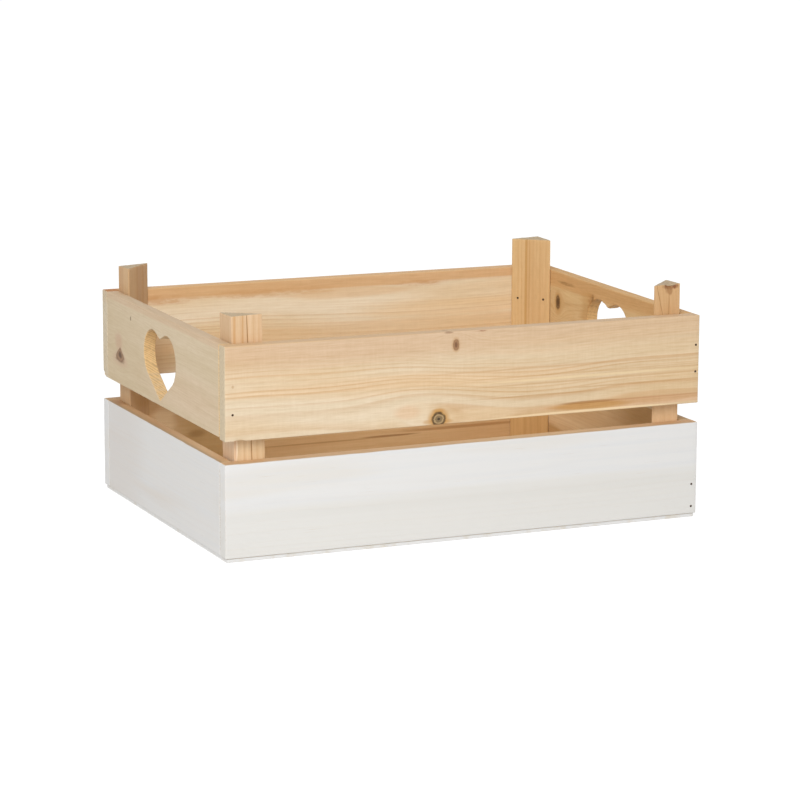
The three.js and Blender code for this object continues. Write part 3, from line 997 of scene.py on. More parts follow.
def corners(node: str) -> list[Vector]:
    """Gives the corners of a CAD node, in metres."""
    return [vertex.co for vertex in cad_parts[node].data.vertices]


def meet(one: Object, other: Object) -> bool:
    """Says whether the boxes round two plain meshes overlap.

    Args:
        one: an object.
        other: another.

    Returns:
        True if they do.
    """
    spans = []
    for thing in (one, other):
        points = [v.co for v in thing.data.vertices]
        spans.append([(min(p[i] for p in points), max(p[i] for p in points)) for i in range(3)])
    return all(a[0] < b[1] and b[0] < a[1] for a, b in zip(*spans))


def cut_and_place(
    piece: Object, cutters: Iterable[Object], nodes: Sequence[str]
) -> Object:
    """Takes the cutters out of a piece, and sets it into the frame for its CAD nodes.

    Args:
        piece: an object with a plain mesh.
        cutters: closed meshes that are taken out of it.
        nodes: the CAD nodes that it stands for.

    Returns:
        The same piece.
    """
    for cutter in cutters:
        if meet(piece, cutter):
            cut = piece.modifiers.new(cutter.name, "BOOLEAN")
            cut.operation = "DIFFERENCE"
            cut.solver = "MANIFOLD"
            cut.material_mode = "INDEX"
            cut.object = cutter
    if piece.modifiers:
        settle(piece)
    # The walls of a cut are the same wood as the rest, not what the cutter is made of.
    finish = next(material for material in piece.data.materials if material)
    piece.data.materials.clear()
    piece.data.materials.append(finish)
    piece.data.set_sharp_from_angle(angle=math.radians(38))
    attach(piece, ROOT_BODY)
    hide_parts(*nodes)
    log.info("%s: %d faces", piece.name, len(piece.data.polygons))
    return piece


@dataclass
class SawnPiece:
    """A board, a panel or a post, which stands for a CAD node."""

    node: str
    finish: SawnPine | WhiteRolledPine | WhiteFacedPly
    look: str = "pine"  # the last word of the piece's name
    slot: str = "natural_pine"
    surface: Surface = Surface()
    chips: tuple[Chip, ...] = ()
    arris: float = 0.8
    arris_rows: int = 3

    @property
    def name(self) -> str:
        """The piece's name."""
        return f"{self.node}_{self.look}"

    @property
    def wood(self) -> SawnPine:
        """The bare wood, under the paint if there is any."""
        return self.finish if isinstance(self.finish, SawnPine) else self.finish.wood


@dataclass
class Plank(SawnPiece):
    """One board or panel."""

    cell: Point = (3.0, 0.8, 1.2)  # along, across and through the grain
    hang: float = 0.0  # how much lower than the CAD board's its lower edge was ripped

    def build(self, cutters: Iterable[Object]) -> Object:
        """Makes the plank, with the cutters taken out of it.

        Args:
            cutters: closed meshes, of which some meet the plank.

        Returns:
            The plank, set into the frame.
        """
        low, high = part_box(self.node)
        low = low - Vector((0.0, 0.0, self.hang * MM))
        size, order = high - low, self.wood.figure.grain.value
        pitch = dict(zip(order, self.cell))
        cells = {f"Cells {axis}": max(2 * self.arris_rows + 2, round(size[i] / MM / pitch[i]))
                 for i, axis in enumerate("XYZ")}
        # The CAD board's top edge falls away from its box at the two ends.
        along = [(corner[order[0]], corner.z) for corner in corners(self.node)]
        tops = [max(z for place, z in along if abs(place - end[order[0]]) < 0.01 * MM)
                for end in (low, high)]
        piece = PlankTree(self).shape(self.name, {
            "Centre": (low + high) / 2, "Size": size, **cells, "Arris": self.arris * MM,
            "Arris Rows": self.arris_rows, "Low End Drop": high.z - tops[0],
            "High End Drop": high.z - tops[1], "Material": self.finish.material(self.name),
        })
        return cut_and_place(piece, cutters, [self.node])


@dataclass
class Post(SawnPiece):
    """A corner post of triangular section."""

    slot: str = "post_pine"
    surface: Surface = Surface(swell=0.16, grain=0.08)
    arris: float = 0.45
    arris_rows: int = 2
    blunt: float = 1.2
    corner_radius: float = 0.4
    columns: int = 132
    row_pitch: float = 1.8
    end_rows: int = 7

    @property
    def side(self) -> int:
        """The way to the end board, along X."""
        return -1 if "left" in self.node else 1

    @property
    def face(self) -> int:
        """The way to the long board, along Y."""
        return -1 if "front" in self.node else 1

    def outermost(self, points: Iterable[Vector]) -> float:
        """Gives the place along X of the points that lie nearest to the end board, in metres."""
        return self.side * max(self.side * p.x for p in points)

    def top_at(self, top: Sequence[Vector], x: float, y: float) -> float:
        """Gives the height of the CAD post's top at a corner, in metres."""
        return max(c.z for c in top if math.hypot(c.x - x, c.y - y) < 0.2 * MM)

    def section(self, corner: Vector, leg: float) -> Mesh:
        """Makes the loop of edges that is swept, anticlockwise seen from above.

        Args:
            corner: its outer corner.
            leg: how long its legs are, in metres.

        Returns:
            The loop.
        """
        blunt = self.blunt * MM
        offsets = [(0, 0), (leg, 0), (leg, blunt), (blunt, leg), (0, leg)]
        points = [(corner.x - self.side * x, corner.y - self.face * y, 0) for x, y in offsets]
        if self.side * self.face < 0:
            points.reverse()
        mesh = bpy.data.meshes.new(self.name)
        count = len(points)
        mesh.from_pydata(points, [(i, (i + 1) % count) for i in range(count)], [])
        return mesh

    def build(self, cutters: Iterable[Object]) -> Object:
        """Makes the post, with the cutters taken out of it.

        Args:
            cutters: closed meshes, of which some meet the post.

        Returns:
            The post, set into the frame.
        """
        low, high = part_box(self.node)
        leg, points = high.y - low.y, corners(self.node)
        foot_x = self.outermost(p for p in points if p.z < low.z + 0.01 * MM)
        tops = [p for p in points if p.z > high.z - 5 * MM]
        top_x = self.outermost(tops)
        corner = Vector((foot_x, high.y if self.face > 0 else low.y, 0))
        to_side = leg * (1 - math.sqrt(0.5))
        top = self.top_at(tops, top_x, corner.y)
        along_x = self.top_at(tops, top_x - self.side * leg, corner.y) - top
        along_y = self.top_at(tops, top_x, corner.y - self.face * leg) - top
        rows = round((top - low.z) / MM / self.row_pitch) + 2 * (self.end_rows + self.arris_rows)
        piece = PostTree(self).shape(self.name, {
            "Columns": self.columns, "Rows": rows, "End Rows": self.end_rows,
            "Arris Rows": self.arris_rows, "Arris": self.arris * MM,
            "Corner Radius": self.corner_radius * MM,
            "Middle": corner - Vector((self.side * to_side, self.face * to_side, 0)),
            "Middle To Side": to_side, "Bottom": low.z, "Top": top, "Corner": corner,
            "Slant": Vector((-self.side * along_x, -self.face * along_y, 0)) / leg,
            "Lean": (top_x - foot_x) / (top - low.z), "Material": self.finish.material(self.name),
        }, self.section(corner, leg))
        return cut_and_place(piece, cutters, [self.node])


@dataclass
class BradSet:
    """The brads of one board, post or panel: they are driven the same way and are equally long."""

    kind: str  # what the names of their CAD nodes begin with
    direction: Point
    seed: int
    filled: tuple[str, ...] = ()  # the nodes whose heads are filled over and sanded flush
    head_radius: float = 0.85
    head_thickness: float = 0.7
    shank_radius: float = 0.6
    point_length: float = 1.8
    set_below: float = 0.4  # the CAD's brads start this deep
    proud: float = 0.22  # these heads are left this much nearer to the surface
    lean: float = 0.012
    room: float = 0.12  # between a head and the dent that it was punched into
    past: float = 1.5  # how far the cutter of the dent stands out of the wood

    @property
    def nodes(self) -> list[str]:
        """The CAD nodes that the set stands for."""
        return sorted(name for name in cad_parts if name.startswith(f"{self.kind}_"))

    def make(
        self, tree: BradTree, steel: Material, name: str, lifts: dict[str, float],
        wider: float = 0.0, longer: float = 0.0, sides: int = 20, lean: float = 0.0,
    ) -> Object:
        """Makes brads, or what cuts their dents and holes.

        Args:
            tree: the tree that makes them.
            steel: their material.
            name: the object's name.
            lifts: how far each stands out of its CAD node's place, by the node's name.
            wider: how much is added to their radii.
            longer: how much is added to their heads.
            sides: of their sections.
            lean: how far out of line they are driven.

        Returns:
            The object.
        """
        way = Vector(self.direction).normalized()
        heads, length = [], 0.0
        for node, lift in lifts.items():
            points = corners(node)
            top, tip = min(p.dot(way) for p in points), max(p.dot(way) for p in points)
            rim = [p for p in points if p.dot(way) < top + 0.01 * MM]
            heads.append(sum(rim, Vector()) / len(rim) - way * lift * MM)
            length = tip - top
        mesh = bpy.data.meshes.new(name)
        mesh.from_pydata(heads, [], [])
        return tree.shape(name, {
            "Direction": way, "Length": length + longer * MM,
            "Head Radius": (self.head_radius + wider) * MM,
            "Head Thickness": (self.head_thickness + longer) * MM,
            "Shank Radius": (self.shank_radius + wider) * MM,
            "Point Length": self.point_length * MM, "Sides": sides, "Lean": lean,
            "Seed": self.seed, "Material": steel,
        }, mesh)

    def build(self, tree: BradTree, steel: Material) -> Object:
        """Makes the finished brads, which stand for all their nodes.

        Args:
            tree: the tree that makes brads.
            steel: what they are made of.

        Returns:
            The brads, set into the frame.
        """
        lifts = {node: 0.0 if node in self.filled else self.proud for node in self.nodes}
        piece = self.make(tree, steel, f"{self.kind}s", lifts, lean=self.lean)
        return cut_and_place(piece, [], self.nodes)

    def cutter(self, tree: BradTree, steel: Material) -> Object:
        """Makes the closed meshes that cut the dents and the holes.

        Args:
            tree: the tree that makes brads.
            steel: any material.

        Returns:
            The cutter.
        """
        out = self.set_below + self.past
        lifts = {node: out for node in self.nodes if node not in self.filled}
        return self.make(tree, steel, f"{self.kind}s_cutter", lifts, self.room, out + self.room, 16)


def straight(start: Vector, end: Vector, step: float) -> list[Vector]:
    """Gives evenly spaced points from a start towards an end, without the end."""
    count = max(1, round((end - start).length / step))
    return [start.lerp(end, i / count) for i in range(count)]


@dataclass(frozen=True)
class HeartHole:
    """A heart-shaped hand hole, sawn with a fine blade and eased by hand round both rims."""

    side: int  # -1 on the left, 1 on the right
    shift: float  # along Y, off the middle of the board
    tear: float = 0.0  # how much wider the inner rim is torn round the cusp
    tear_reach: float = 17.0
    lobe_radius: float = 20.0
    lobe_spread: float = 16.5
    drop: float = 34.0
    cusp_slope: float = 22.0
    point_height: float = 4.0
    step: float = 0.8
    rows: tuple[float, ...] = (-2.0, -0.4, 0, 0.1, 0.25, 0.45, 0.7, 1.0, 1.4, 2.0, 2.8, 3.6, 4.4)
    ease: float = 0.9
    ripple: float = 0.07
    ripple_pitch: float = 2.3

    def outline(self) -> list[tuple[Vector, Vector]]:
        """Gives the closed outline, point by point.

        Returns:
            Each point of the outline, with the way out of the hole there.
        """
        centre = Vector((self.lobe_spread, self.drop))
        slope = math.radians(self.cusp_slope)
        first = math.atan2(-centre.y, -centre.x) + math.acos(self.lobe_radius / centre.length)
        turn = math.pi / 2 + slope - first

        def on_lobe(share: float) -> Vector:
            """Gives a point of the lobe, from its flank to its slope at the cusp."""
            angle = first + turn * share
            return centre + self.lobe_radius * Vector((math.cos(angle), math.sin(angle)))

        top = on_lobe(1)
        cusp = Vector((0, top.y - top.x * math.tan(slope)))
        steps = round(self.lobe_radius * turn / self.step)
        half = straight(Vector((0, 0)), on_lobe(0), self.step)
        half += [on_lobe(i / steps) for i in range(steps)] + straight(top, cusp, self.step) + [cusp]
        points = half + [Vector((-p.x, p.y)) for p in half[-2:0:-1]]
        runs = [b - a for a, b in zip(points[-1:] + points, points[1:] + points[:1])]
        return [(point, Vector((run.y, -run.x)).normalized()) for point, run in zip(points, runs)]

    def widened(self, from_face: float, ease: float) -> float:
        """Gives how much wider the hole is at a depth below a face, where its rim is eased.

        Args:
            from_face: the depth, in mm.
            ease: how far the rim is eased, in mm.

        Returns:
            The extra width on each side, in mm.
        """
        if from_face >= ease:
            return 0.0
        if from_face <= 0:
            return ease - 0.6 * from_face
        return ease - math.sqrt(ease**2 - (ease - from_face) ** 2)

    def ring(self, depth: float, left: float) -> list[Vector]:
        """Gives the outline of the hole at one depth.

        Args:
            depth: below the outer face, in mm.
            left: above the inner face, in mm.

        Returns:
            Its points, seen from the front of the heart.
        """
        outline, ring = self.outline(), []
        cusp = outline[len(outline) // 2][0]
        for i, (point, out) in enumerate(outline):
            near = max(0.0, 1 - (point - cusp).length / self.tear_reach)
            torn = self.tear * near * (0.6 + 0.4 * math.sin(0.9 * i) * math.sin(0.37 * i))
            wide = max(self.widened(depth, self.ease), self.widened(left, self.ease + torn))
            turn = 2 * math.pi * i * self.step / self.ripple_pitch
            place = point + out * (wide + self.ripple * (math.sin(turn) + math.sin(turn / 2.7)))
            # The two flanks of the cusp widen side by side, never through each other.
            flank = math.copysign(max(abs(place.x), 0.25 * abs(point.x)), point.x)
            ring.append(Vector((flank if place.x * point.x > 0 else 0.25 * point.x, place.y)))
        return ring

    def cutter(self, node: str) -> Object:
        """Makes the closed mesh that cuts the hole into a board.

        Args:
            node: the board's CAD node.

        Returns:
            The cutter.
        """
        low, high = (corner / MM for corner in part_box(node))
        face, thickness = high.x if self.side > 0 else low.x, high.x - low.x
        depths = [*self.rows, *(thickness - row for row in reversed(self.rows))]
        count, last = len(self.outline()), len(depths) - 1
        shift, foot = self.shift, low.z + self.point_height
        vertices = [Vector((face - self.side * depth, place.x + shift, foot + place.y)) * MM
                    for depth in depths for place in self.ring(depth, thickness - depth)]
        faces: list[Sequence[int]] = []
        for start in range(0, last * count, count):
            for i in range(count):
                one, two = start + i, start + (i + 1) % count
                faces.append((one, two, two + count, one + count))
        faces += [range(count - 1, -1, -1), range(last * count, (last + 1) * count)]
        mesh = bpy.data.meshes.new("heart_cutter")
        mesh.from_pydata(vertices, [], faces)
        if self.side > 0:
            mesh.flip_normals()
        return new_object(f"heart_cutter_{self.side}", mesh)


# ---------------------------------------------------------------- studio


def in_sight(add: Add) -> Socket:
    """Builds 1 where the camera sees a thing itself, in gloss or through glass, or else 0.

    Args:
        add: adds a node to the tree.

    Returns:
        The share.
    """
    ray = add("ShaderNodeLightPath").node.outputs
    share = add(LARGER, ray["Is Camera Ray"], ray["Is Glossy Ray"])
    return add(LARGER, share, ray["Is Transmission Ray"])


@dataclass(frozen=True)
class Studio:
    """The camera at the photograph's viewing angle, one large soft lamp, and a white floor."""

    camera_place: Point = (-1028.6, -2342.7, 590.3)
    yaw: float = 23.79  # degrees, towards +X from +Y
    pitch: float = 11.19  # degrees, downwards
    roll: float = 0.243  # degrees
    lens: float = 145.49
    sky: float = 0.565
    key_place: Point = (-1400.0, -2150.0, 1500.0)
    key_aim: Point = (0.0, 0.0, 90.0)
    key_size: float = 1500.0
    key_watts: float = 47.0
    floor_radius: float = 9000.0
    floor_sides: int = 96
    floor_colour: str = "ECECEC"
    floor_grey: float = 0.3  # where the camera sees it, under its glow
    floor_glow: float = 0.86

    def set_camera(self) -> None:
        """Puts the camera where the photograph was taken from."""
        yaw, pitch, roll = (math.radians(a) for a in (self.yaw, self.pitch, self.roll))
        data = bpy.data.cameras.new("camera")
        data.lens = self.lens
        data.sensor_width = 36
        data.clip_start, data.clip_end = 0.1, 30
        camera = new_object("camera", data)
        place = Matrix.Translation(Vector(self.camera_place) * MM)
        tilt = Matrix.Rotation(math.pi / 2 - pitch, 4, "X") @ Matrix.Rotation(roll, 4, "Z")
        camera.matrix_world = place @ Matrix.Rotation(-yaw, 4, "Z") @ tilt
        bpy.context.scene.camera = camera

    def set_lamp(self) -> None:
        """Hangs the lamp to the front left."""
        data = bpy.data.lights.new("key", "AREA")
        data.shape = "DISK"
        data.size = self.key_size * MM
        data.energy = self.key_watts
        lamp = new_object("key", data)
        lamp.location = Vector(self.key_place) * MM
        way = (Vector(self.key_aim) - Vector(self.key_place)) * MM
        lamp.rotation_euler = way.to_track_quat("-Z", "Y").to_euler()

    def set_world(self) -> None:
        """Lights the room evenly, and shows it white to the camera, in gloss and through glass."""
        world = bpy.data.worlds.new("room")
        bpy.context.scene.world = world
        world.use_nodes = True
        world.node_tree.nodes.clear()
        add = partial(add_node, world.node_tree)
        strength = add(RANGE, in_sight(add), 0.0, 1.0, self.sky, 1.0)
        add("ShaderNodeOutputWorld", add("ShaderNodeBackground", "FFFFFF", strength))

    def set_floor(self) -> None:
        """Lays a white floor that keeps the soft shadow of the box."""
        turns = [2 * math.pi * i / self.floor_sides for i in range(self.floor_sides)]
        reach = self.floor_radius * MM
        mesh = bpy.data.meshes.new("floor")
        mesh.from_pydata([(reach * math.cos(a), reach * math.sin(a), 0) for a in turns], [],
                         [range(self.floor_sides)])
        material, add = new_material("studio floor")
        seen = in_sight(add)
        grey = (self.floor_grey, self.floor_grey, self.floor_grey, 1)
        matt = add("ShaderNodeBsdfDiffuse", add(MIX, seen, self.floor_colour, grey))
        glow = add("ShaderNodeEmission", "FFFFFF", add(TIMES, seen, self.floor_glow))
        add("ShaderNodeOutputMaterial", add("ShaderNodeAddShader", matt, glow))
        mesh.materials.append(material)
        new_object("floor", mesh)

    def build(self) -> None:
        """Sets up everything round the box."""
        self.set_camera()
        self.set_lamp()
        self.set_world()
        self.set_floor()
        bpy.context.scene.view_settings.view_transform = "Standard"


# ---------------------------------------------------------------- the box


FRONT_UPPER = SawnPine(
    figure=Figure(
        grain=Grain.ALONG_X,
        pith=(101.0, -166.0),
        ring=2.5,
        seed=3.1,
        wander=3.0,
        calm=(133.0, 146.0, 0.3),
        bends=((-190, 70, 4.0), (60, 62, -5.0), (-60, 60, 2.0)),
        knots=(
            Knot(-25.5, 96.9, 5.5, 5.3, body="A68A62", rim="4C3820", halo="C28C42",
                 halo_reach=2.0, halo_strength=0.85, heart_size=0.18, rays=0.8),
            Knot(-11.3, 153.6, 2.8, 4.8, body="A67F5B", halo="C9A279", halo_reach=1.6, flow=1.6,
                 rim_strength=0.1, heart="7C573E", heart_size=0.42, rays=0.0, years=0.05),
            Knot(-46, 101, 3, 3, shows=False, push=1.8, flow=2.0),
        ),
        fibre=(18.0, 0.8),
    ),
    cream="E1CEB1",
    blush="DCC099",
    latewood="BC874C",
    end_wood="CDBDA0",
    end_contrast=0.07,
    latewood_depth=0.53,
    streak_depth=0.15,
    fibre_depth=0.13,
    mottle_depth=0.07,
    saw_depth=0.05,
    tones=(
        Mark(0, 158, 460, 13, "D2B18F", 0.8, 0.5, 1.2),
        Mark(160, 122, 190, 40, "D7B98F", 0.5, 0.5, 1.2),
        Mark(-60, 128, 150, 7, "E0BD92", 0.5, 0.6, 1),
        Mark(155, 97.9, 94, 3.5, "D6AF89", 0.8, 0.3, 0.4),
        Mark(105, 97.8, 33, 2.9, "C09050", 0.8, 0.5, 0.6),
        Mark(-52, 104, 9, 4.5, "DAAE84", 0.4, 0.6, 1),
        Mark(9, 97, 32, 6, "EBD5B1", 0.85, 0.4, 0.5),
    ),
    marks=(
        # Painted shade: a darker band over the top arris and the top face.
        Mark(0, 166, 900, 2.2, "D6B48A", 0.6, 0.1, 0.4),
        Mark(95, 131.2, 125, 0.8, "C4986A", 0.4, 0.5, 0.8),
        Mark(110, 124.8, 100, 0.6, "C29762", 0.35, 0.6, 0.8),
        Mark(110, 121.6, 95, 0.9, "EBD2A6", 0.55, 0.5, 0.8),
        Mark(110, 118.6, 100, 0.7, "BC8F5D", 0.4, 0.5, 0.8),
        Mark(60, 109.4, 50, 0.6, "B98B58", 0.55, 0.4, 0.8),
        Mark(150, 112.8, 60, 0.6, "B98B58", 0.5, 0.4, 0.8),
        Mark(104, 100.6, 26, 1, "9A6A33", 0.6, 0.8, 0.6),
        Mark(160, 100.6, 60, 0.6, "B8875A", 0.5, 0.5, 0.6),
        Mark(98, 93.6, 78, 1.25, "EDD2A8", 0.85, 0.2, 0.4),
        Mark(-34, 95.2, 4, 1.6, "BD8A4C", 0.45, 0.5, 0.9),
        Mark(-17.4, 95, 3.8, 1.5, "BD8A4C", 0.45, 0.5, 0.9),
        Mark(-25.5, 103.6, 5, 1.6, "BD8236", 0.5, 0.4, 0.9),
        Mark(-17.5, 163.4, 3.2, 0.6, "8F6A52", 0.6, 0.7, 0.8, 0.7),
        Mark(9.5, 163, 4.8, 0.6, "8E4C2C", 0.75, 0.8, 0.8, 0.8),
        Mark(-193.4, 134.2, 1, 1.2, "B58F66", 0.5, 0.1, 0.6),
    ),
)

BACK_UPPER = SawnPine(
    figure=Figure(Grain.ALONG_X, pith=(72.0, 168.0), ring=2.4, seed=11.7, wander=2.5,
                  calm=(139.0, 147.0, 0.15), bends=((-120, 80, 3.0), (110, 90, -2.5))),
    cream="F5E6CB",
    blush="ECD3AC",
    latewood="CFA068",
    latewood_depth=0.4,
    mottle_depth=0.07,
    tones=(
        Mark(0, 162, 700, 6.5, "DEB07B", 0.85, 0.5, 0.5),
        Mark(50, 118, 280, 10, "E2BA86", 0.55, 0.8, 1),
        Mark(105, 132, 80, 8, "EDC996", 0.5, 0.6, 1),
        Mark(18, 152, 56, 4.4, "E2B987", 0.5, 0.4, 0.6),
        Mark(-158, 112, 16, 26, "E6BF8C", 0.4, 0.4, 1),
    ),
    marks=(
        Mark(-60, 156, 60, 3.5, "D5A36D", 0.6, 0.9, 0.8, 0.5),
        Mark(80, 155.5, 26, 2.8, "CE9862", 0.6, 0.9, 0.8, 0.5),
        Mark(-160, 155, 40, 4, "CE9862", 0.6, 0.9, 0.8, 0.5),
        Mark(-197, 166, 9, 1.6, "B5713A", 0.8, 0.2, 0.5),
    ),
)

LEFT_UPPER = SawnPine(
    figure=Figure(Grain.ALONG_Y, pith=(30.0, -252.0), ring=1.7, seed=21.4, wander=3.0,
                  lean=(0.05, 0.0),
                  knots=(Knot(97.6, 118.6, 8.6, 6.4, body="9F7E60", rim="6A4D38", halo="CBAC90",
                              halo_reach=1.9, halo_strength=0.7, flow=1.3, rim_strength=0.3,
                              heart="5E432E", heart_size=0.36, rays=0.7, years=0.12, taper=0.8),)),
    cream="D7C4A6",
    blush="D0BC9B",
    latewood="BFA17A",
    end_wood="E2BB80",
    end_contrast=0.34,
    latewood_depth=0.22,
    streak_depth=0.09,
    mottle_depth=0.07,
    tones=(
        Mark(0, 163.5, 400, 2.6, "CFB08F", 0.6, 0.5, 0.8),
        Mark(-60, 112, 90, 16, "D9BFA2", 0.5, 0.6, 1.2),
    ),
    marks=(
        Mark(100.5, 129, 8, 6.5, "C9A68B", 0.6, 0.4, 1.1),
        Mark(70.8, 152.5, 1.2, 1.8, "857058", 0.9, 0.2, 0.5),
    ),
)

RIGHT_UPPER = SawnPine(
    figure=Figure(Grain.ALONG_Y, pith=(40.0, 168.0), ring=2.8, seed=33.2, wander=4.0,
                  lean=(-0.08, 0.0), bends=((20, 40, 3.0),),
                  knots=(Knot(89.4, 138.5, 4.0, 6.2, body="93724A", rim="644A2E", halo="C99D63",
                              flow=1.0, push=1.5, rim_strength=0.4, heart="604629",
                              heart_size=0.5, rays=0.3, years=0.1),)),
    cream="E4C591",
    blush="DAB384",
    end_wood="DAB279",
    latewood_depth=0.4,
    mottle_depth=0.09,
    tones=(
        Mark(0, 160, 400, 8.5, "D6A870", 0.8, 0.5, 0.6),
        Mark(32, 141, 14, 13, "C99A5E", 0.6, 0.8, 0.9),
    ),
    marks=(
        Mark(72, 156.4, 13, 1.3, "98713F", 0.7, 0.9, 0.9, 0.4),
        Mark(29, 142, 6, 9, "B27A40", 0.7, 0.9, 0.7, 0.6),
        Mark(25, 147, 2.5, 6, "845828", 0.6, 0.9, 0.6, 0.5),
    ),
)

FRONT_LOWER_WOOD = SawnPine(
    figure=Figure(Grain.ALONG_X, pith=(60.0, -190.0), ring=2.6, seed=41.9, wander=3.0),
    cream="E0BF96", blush="D6AE84")
BACK_LOWER_WOOD = SawnPine(
    figure=Figure(Grain.ALONG_X, pith=(-20.0, 200.0), ring=2.9, seed=53.5, wander=4.0,
                  knots=(Knot(-150.0, 30.0, 4.0, 3.0, body="7E5232", rim="6A3F28"),)),
    cream="E5C79B",
    blush="DBB788",
    latewood_depth=0.22,
    tones=(
        # Painted shade: a darker, more golden patch on the inner face, where it shows through the
        # left gap.
        Mark(-110, 35, 30, 50, "C8A672", 0.9, 0.6, 0.9),
        Mark(-194, 76, 12, 2.5, "B38F68", 0.8, 0.3, 0.6),
        Mark(-152, 54, 10, 12, "F6DCB4", 0.9, 0.3, 0.8),
    ),
    marks=(
        Mark(-123, 42, 8, 3, "9A7443", 0.55, 0.7, 1),
        Mark(50, 25.6, 26, 0.9, "96673A", 0.7, 0.8, 0.8),
        Mark(-12, 24.7, 60, 0.7, "A87A48", 0.55, 0.8, 0.8),
        Mark(120, 28.6, 60, 1.3, "A97742", 0.6, 0.8, 0.9),
    ),
)
LEFT_LOWER_WOOD = SawnPine(
    figure=Figure(Grain.ALONG_Y, pith=(0.0, -230.0), ring=2.6, seed=61.3, wander=4.0),
    cream="D9B589", blush="CCA77C",
    tones=(
        Mark(124, 76, 16, 3, "A98560", 0.8, 0.3, 0.7),
    ),
    marks=(
        Mark(60, 75.5, 90, 3, "A9794C", 0.45, 1.2, 1),
        Mark(-20, 79.3, 160, 1, "99703F", 0.5, 0.9, 0.8, 0.6),
    ))
RIGHT_LOWER_WOOD = SawnPine(
    figure=Figure(Grain.ALONG_Y, pith=(110.0, 240.0), ring=2.4, seed=73.8, wander=4.0),
    cream="EED3AB", blush="E5C599", latewood_depth=0.2,
    tones=(
        Mark(-104, 66, 74, 24, "C6A474", 1, 0.3, 1.1),
        Mark(100, 26, 24, 4.5, "C49A62", 0.7, 0.7, 0.9),
    ))

PANEL = WhiteFacedPly(
    wood=SawnPine(
        figure=Figure(Grain.ALONG_X_FLAT, pith=(40.0, -90.0), ring=5.0, seed=83.1, wander=16.0,
                      wave=(260.0, 60.0), lean=(0.02, 0.01)),
        cream="E4CFA9", latewood="D2B084", end_wood="DCC8A6", latewood_depth=0.3,
    ),
)


def post_pine(
    seed: float, pith: tuple[float, float], cream: str, blush: str, lean: float = 0.0, **drawn: Any
) -> SawnPine:
    """Gives the finish of a post, which is ripped from tight, straight-grained wood.

    Args:
        seed: of its figure.
        pith: where the pith of its log lay.
        cream: its lighter wood.
        blush: its pinker wood.
        lean: how far the pith moves across, per mm upwards.
        drawn: its tones, marks and checks.

    Returns:
        The finish.
    """
    figure = Figure(Grain.ALONG_Z, pith=pith, ring=1.9, seed=seed, wander=1.6, lean=(lean, 0.0),
                    fibre=(26.0, 0.7), streak=(150.0, 2.6), zone=(240.0, 11.0))
    return SawnPine(figure, cream, blush, "BC8A50", "C3AF90", latewood_depth=0.34,
                    streak_depth=0.1, mottle_depth=0.07, **drawn)


POSTS = (
    Post("post_front_left", post_pine(
        5.5, (-150.0, -168.0), "DBBA94", "D6B48D", -0.018,
        tones=(
            Mark(120, -184.6, 200, 1.4, "E4C9A1", 0.15, 0.3, 0.6),
            # Painted light: lighter bands where the post shows in the shade of the gap, brightest
            # on its narrow left face.
            Mark(84, -174, 15, 18, "E8CDA4", 0.6, 0.2, 0.4),
            Mark(84, -189.6, 15, 4.4, "FFEAD0", 1, 0.1, 0.2),
        ),
        marks=(
            Mark(120, -187.2, 200, 1, "C99456", 0.5, 0.3, 0.6),
            Mark(170, -180.6, 60, 0.5, "C48F52", 0.5, 0.3, 0.6),
        ),
        checks=(Check(-177.4, -0.032, 3.0, 188.0, 0.35, 0.35, "9C7448"),),
    )),
    Post("post_front_right", post_pine(
        15.2, (176.5, -150.0), "D8B486", "D1AA7D", -0.12,
        tones=(
            Mark(182, 176, 24, 14, "CCA171", 0.65, 0.3, 0.8),
            # Painted light: a lighter band where the post shows in the shade of the gap.
            Mark(84, 176, 15, 26, "E2C096", 0.8, 0.2, 0.4),
        ),
        marks=(
            Mark(185.2, 179.5, 2.2, 6, "7E4B2C", 0.9, 0.9, 0.6, 0.5),
            Mark(182.5, 178.8, 3.4, 3, "A2754A", 0.75, 0.6, 0.7),
            Mark(166, 178.5, 14, 0.5, "A87C4C", 0.6, 0.3, 0.6),
        ),
        checks=(Check(167.4, -0.233, 155.0, 187.0, 0.4, 0.15, "B08558"),),
    ), chips=(Chip((180.0, -129.0, 187.5), 6.0, 1.1),)),
    Post("post_rear_left", post_pine(
        25.9, (-140.0, 60.0), "D2AF85", "CAA57D",
        # Painted shade: a darker band on the diagonal inner face, where it shows through the left
        # gap.
        tones=(Mark(84, -172, 15, 15, "BC935E", 0.6, 0.3, 0.5),),
    )),
    Post("post_rear_right", post_pine(
        35.1, (150.0, 30.0), "E4C08B", "DFB985",
        tones=(
            Mark(130, 182, 200, 6, "D8B07D", 0.6, 0.2, 0.8),
            Mark(20, 165, 50, 40, "CFA265", 0.6, 0.2, 0.6),
        ),
        marks=(
            Mark(160, 174, 120, 0.7, "C2924F", 0.6, 0.3, 0.6),
            Mark(170, 176.2, 60, 0.5, "C4945A", 0.5, 0.3, 0.6),
        ),
    )),
)

FRONT_LOWER = WhiteRolledPine(FRONT_LOWER_WOOD, -1, 141.0, ends_at=200.0, tones=(
    Mark(40, 19, 700, 22.5, "DEDCD7", 0.85, 0.2, 0.4),
    Mark(60, 33, 260, 3.5, "DBD9D4", 0.5, 0.6, 0.8),
))
LEFT_LOWER = WhiteRolledPine(
    LEFT_LOWER_WOOD, -1, 200.0, tones=(Mark(95, 40, 45, 60, "D6CFC8", 0.5, 0.3, 1.2),),
    paint="DFDDDA", warm="DAD3CB", soiled="A68D6C", soiled_share=0.85)
WHITE = ("white", "white_painted_pine")  # the look and the slot of the lower boards

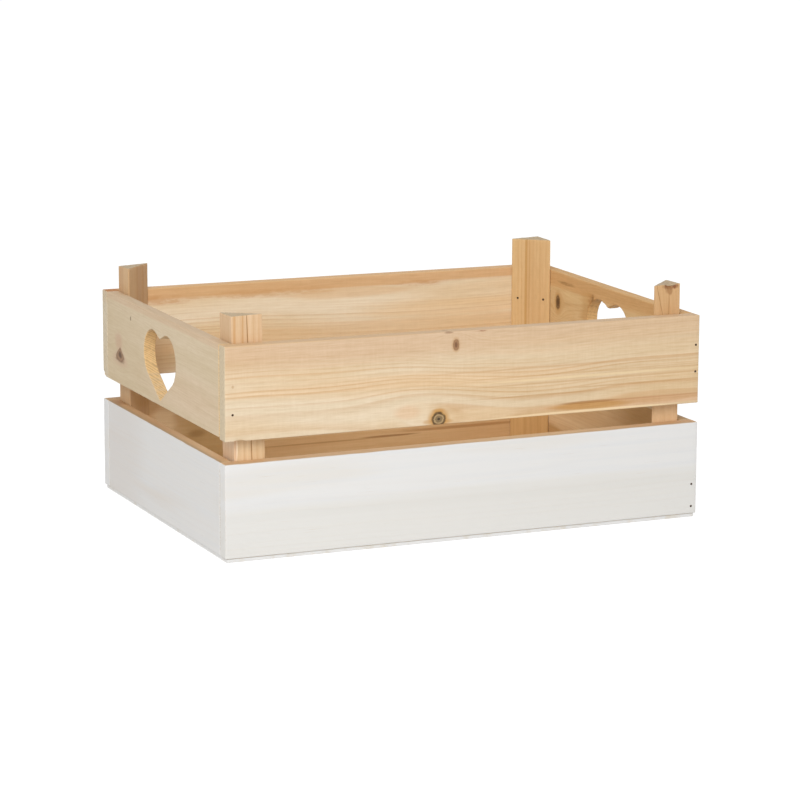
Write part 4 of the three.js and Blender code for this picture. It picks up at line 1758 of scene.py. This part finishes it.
PLANKS = (
    Plank("front_upper_board", FRONT_UPPER, hang=1.5,
          chips=(Chip((-188.0, -141.0, 92.0), 4.0, 0.9),)),
    Plank("back_upper_board", BACK_UPPER, chips=(Chip((-200.0, 141.0, 94.0), 5.0, 1.4),)),
    Plank("left_upper_board", LEFT_UPPER),
    Plank("right_upper_board", RIGHT_UPPER),
    Plank("front_lower_board", FRONT_LOWER, *WHITE),
    Plank("back_lower_board", WhiteRolledPine(BACK_LOWER_WOOD, 1, 141.0, ends_at=200.0), *WHITE),
    Plank("left_lower_board", LEFT_LOWER, *WHITE),
    Plank("right_lower_board", WhiteRolledPine(RIGHT_LOWER_WOOD, 1, 200.0), *WHITE),
    Plank("bottom_panel", PANEL, "ply", "panel_ply", arris=0.4, cell=(4.0, 4.0, 1.2),
          surface=Surface(skin=0.02, swell=0.04, grain=0.02, fuzz=0.03, worn=0.08)),
)

BRADS = (
    BradSet("front_lower_brad", (0, 1, 0), 1, filled=("front_lower_brad_1", "front_lower_brad_2")),
    BradSet("front_upper_brad", (0, 1, 0), 2, filled=("front_upper_brad_2",)),
    BradSet("back_lower_brad", (0, -1, 0), 3),
    BradSet("back_upper_brad", (0, -1, 0), 4),
    BradSet("post_front_left_brad", (-1, -1, 0), 5),
    BradSet("post_front_right_brad", (1, -1, 0), 6),
    BradSet("post_rear_left_brad", (-1, 1, 0), 7),
    BradSet("post_rear_right_brad", (1, 1, 0), 8),
    BradSet("bottom_panel_brad", (0, 0, 1), 9),
)

HEARTS = {
    "left_upper_board": HeartHole(-1, 2.5),
    "right_upper_board": HeartHole(1, -2.0, tear=2.6),
}


def main() -> None:
    """Builds the studio and the box, and reports each piece."""
    logging.basicConfig(level=logging.INFO, format="%(message)s")
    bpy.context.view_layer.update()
    Studio().build()
    brad_tree = BradTree()
    steel = WireSteel().material("wire steel")
    cutters = [brads.cutter(brad_tree, steel) for brads in BRADS]
    cutters += [heart.cutter(node) for node, heart in HEARTS.items()]
    for brads in BRADS:
        brads.build(brad_tree, steel)
    for piece in (*PLANKS, *POSTS):
        piece.build(cutters)
    for cutter in cutters:
        bpy.data.objects.remove(cutter)


if __name__ == "__main__":
    main()
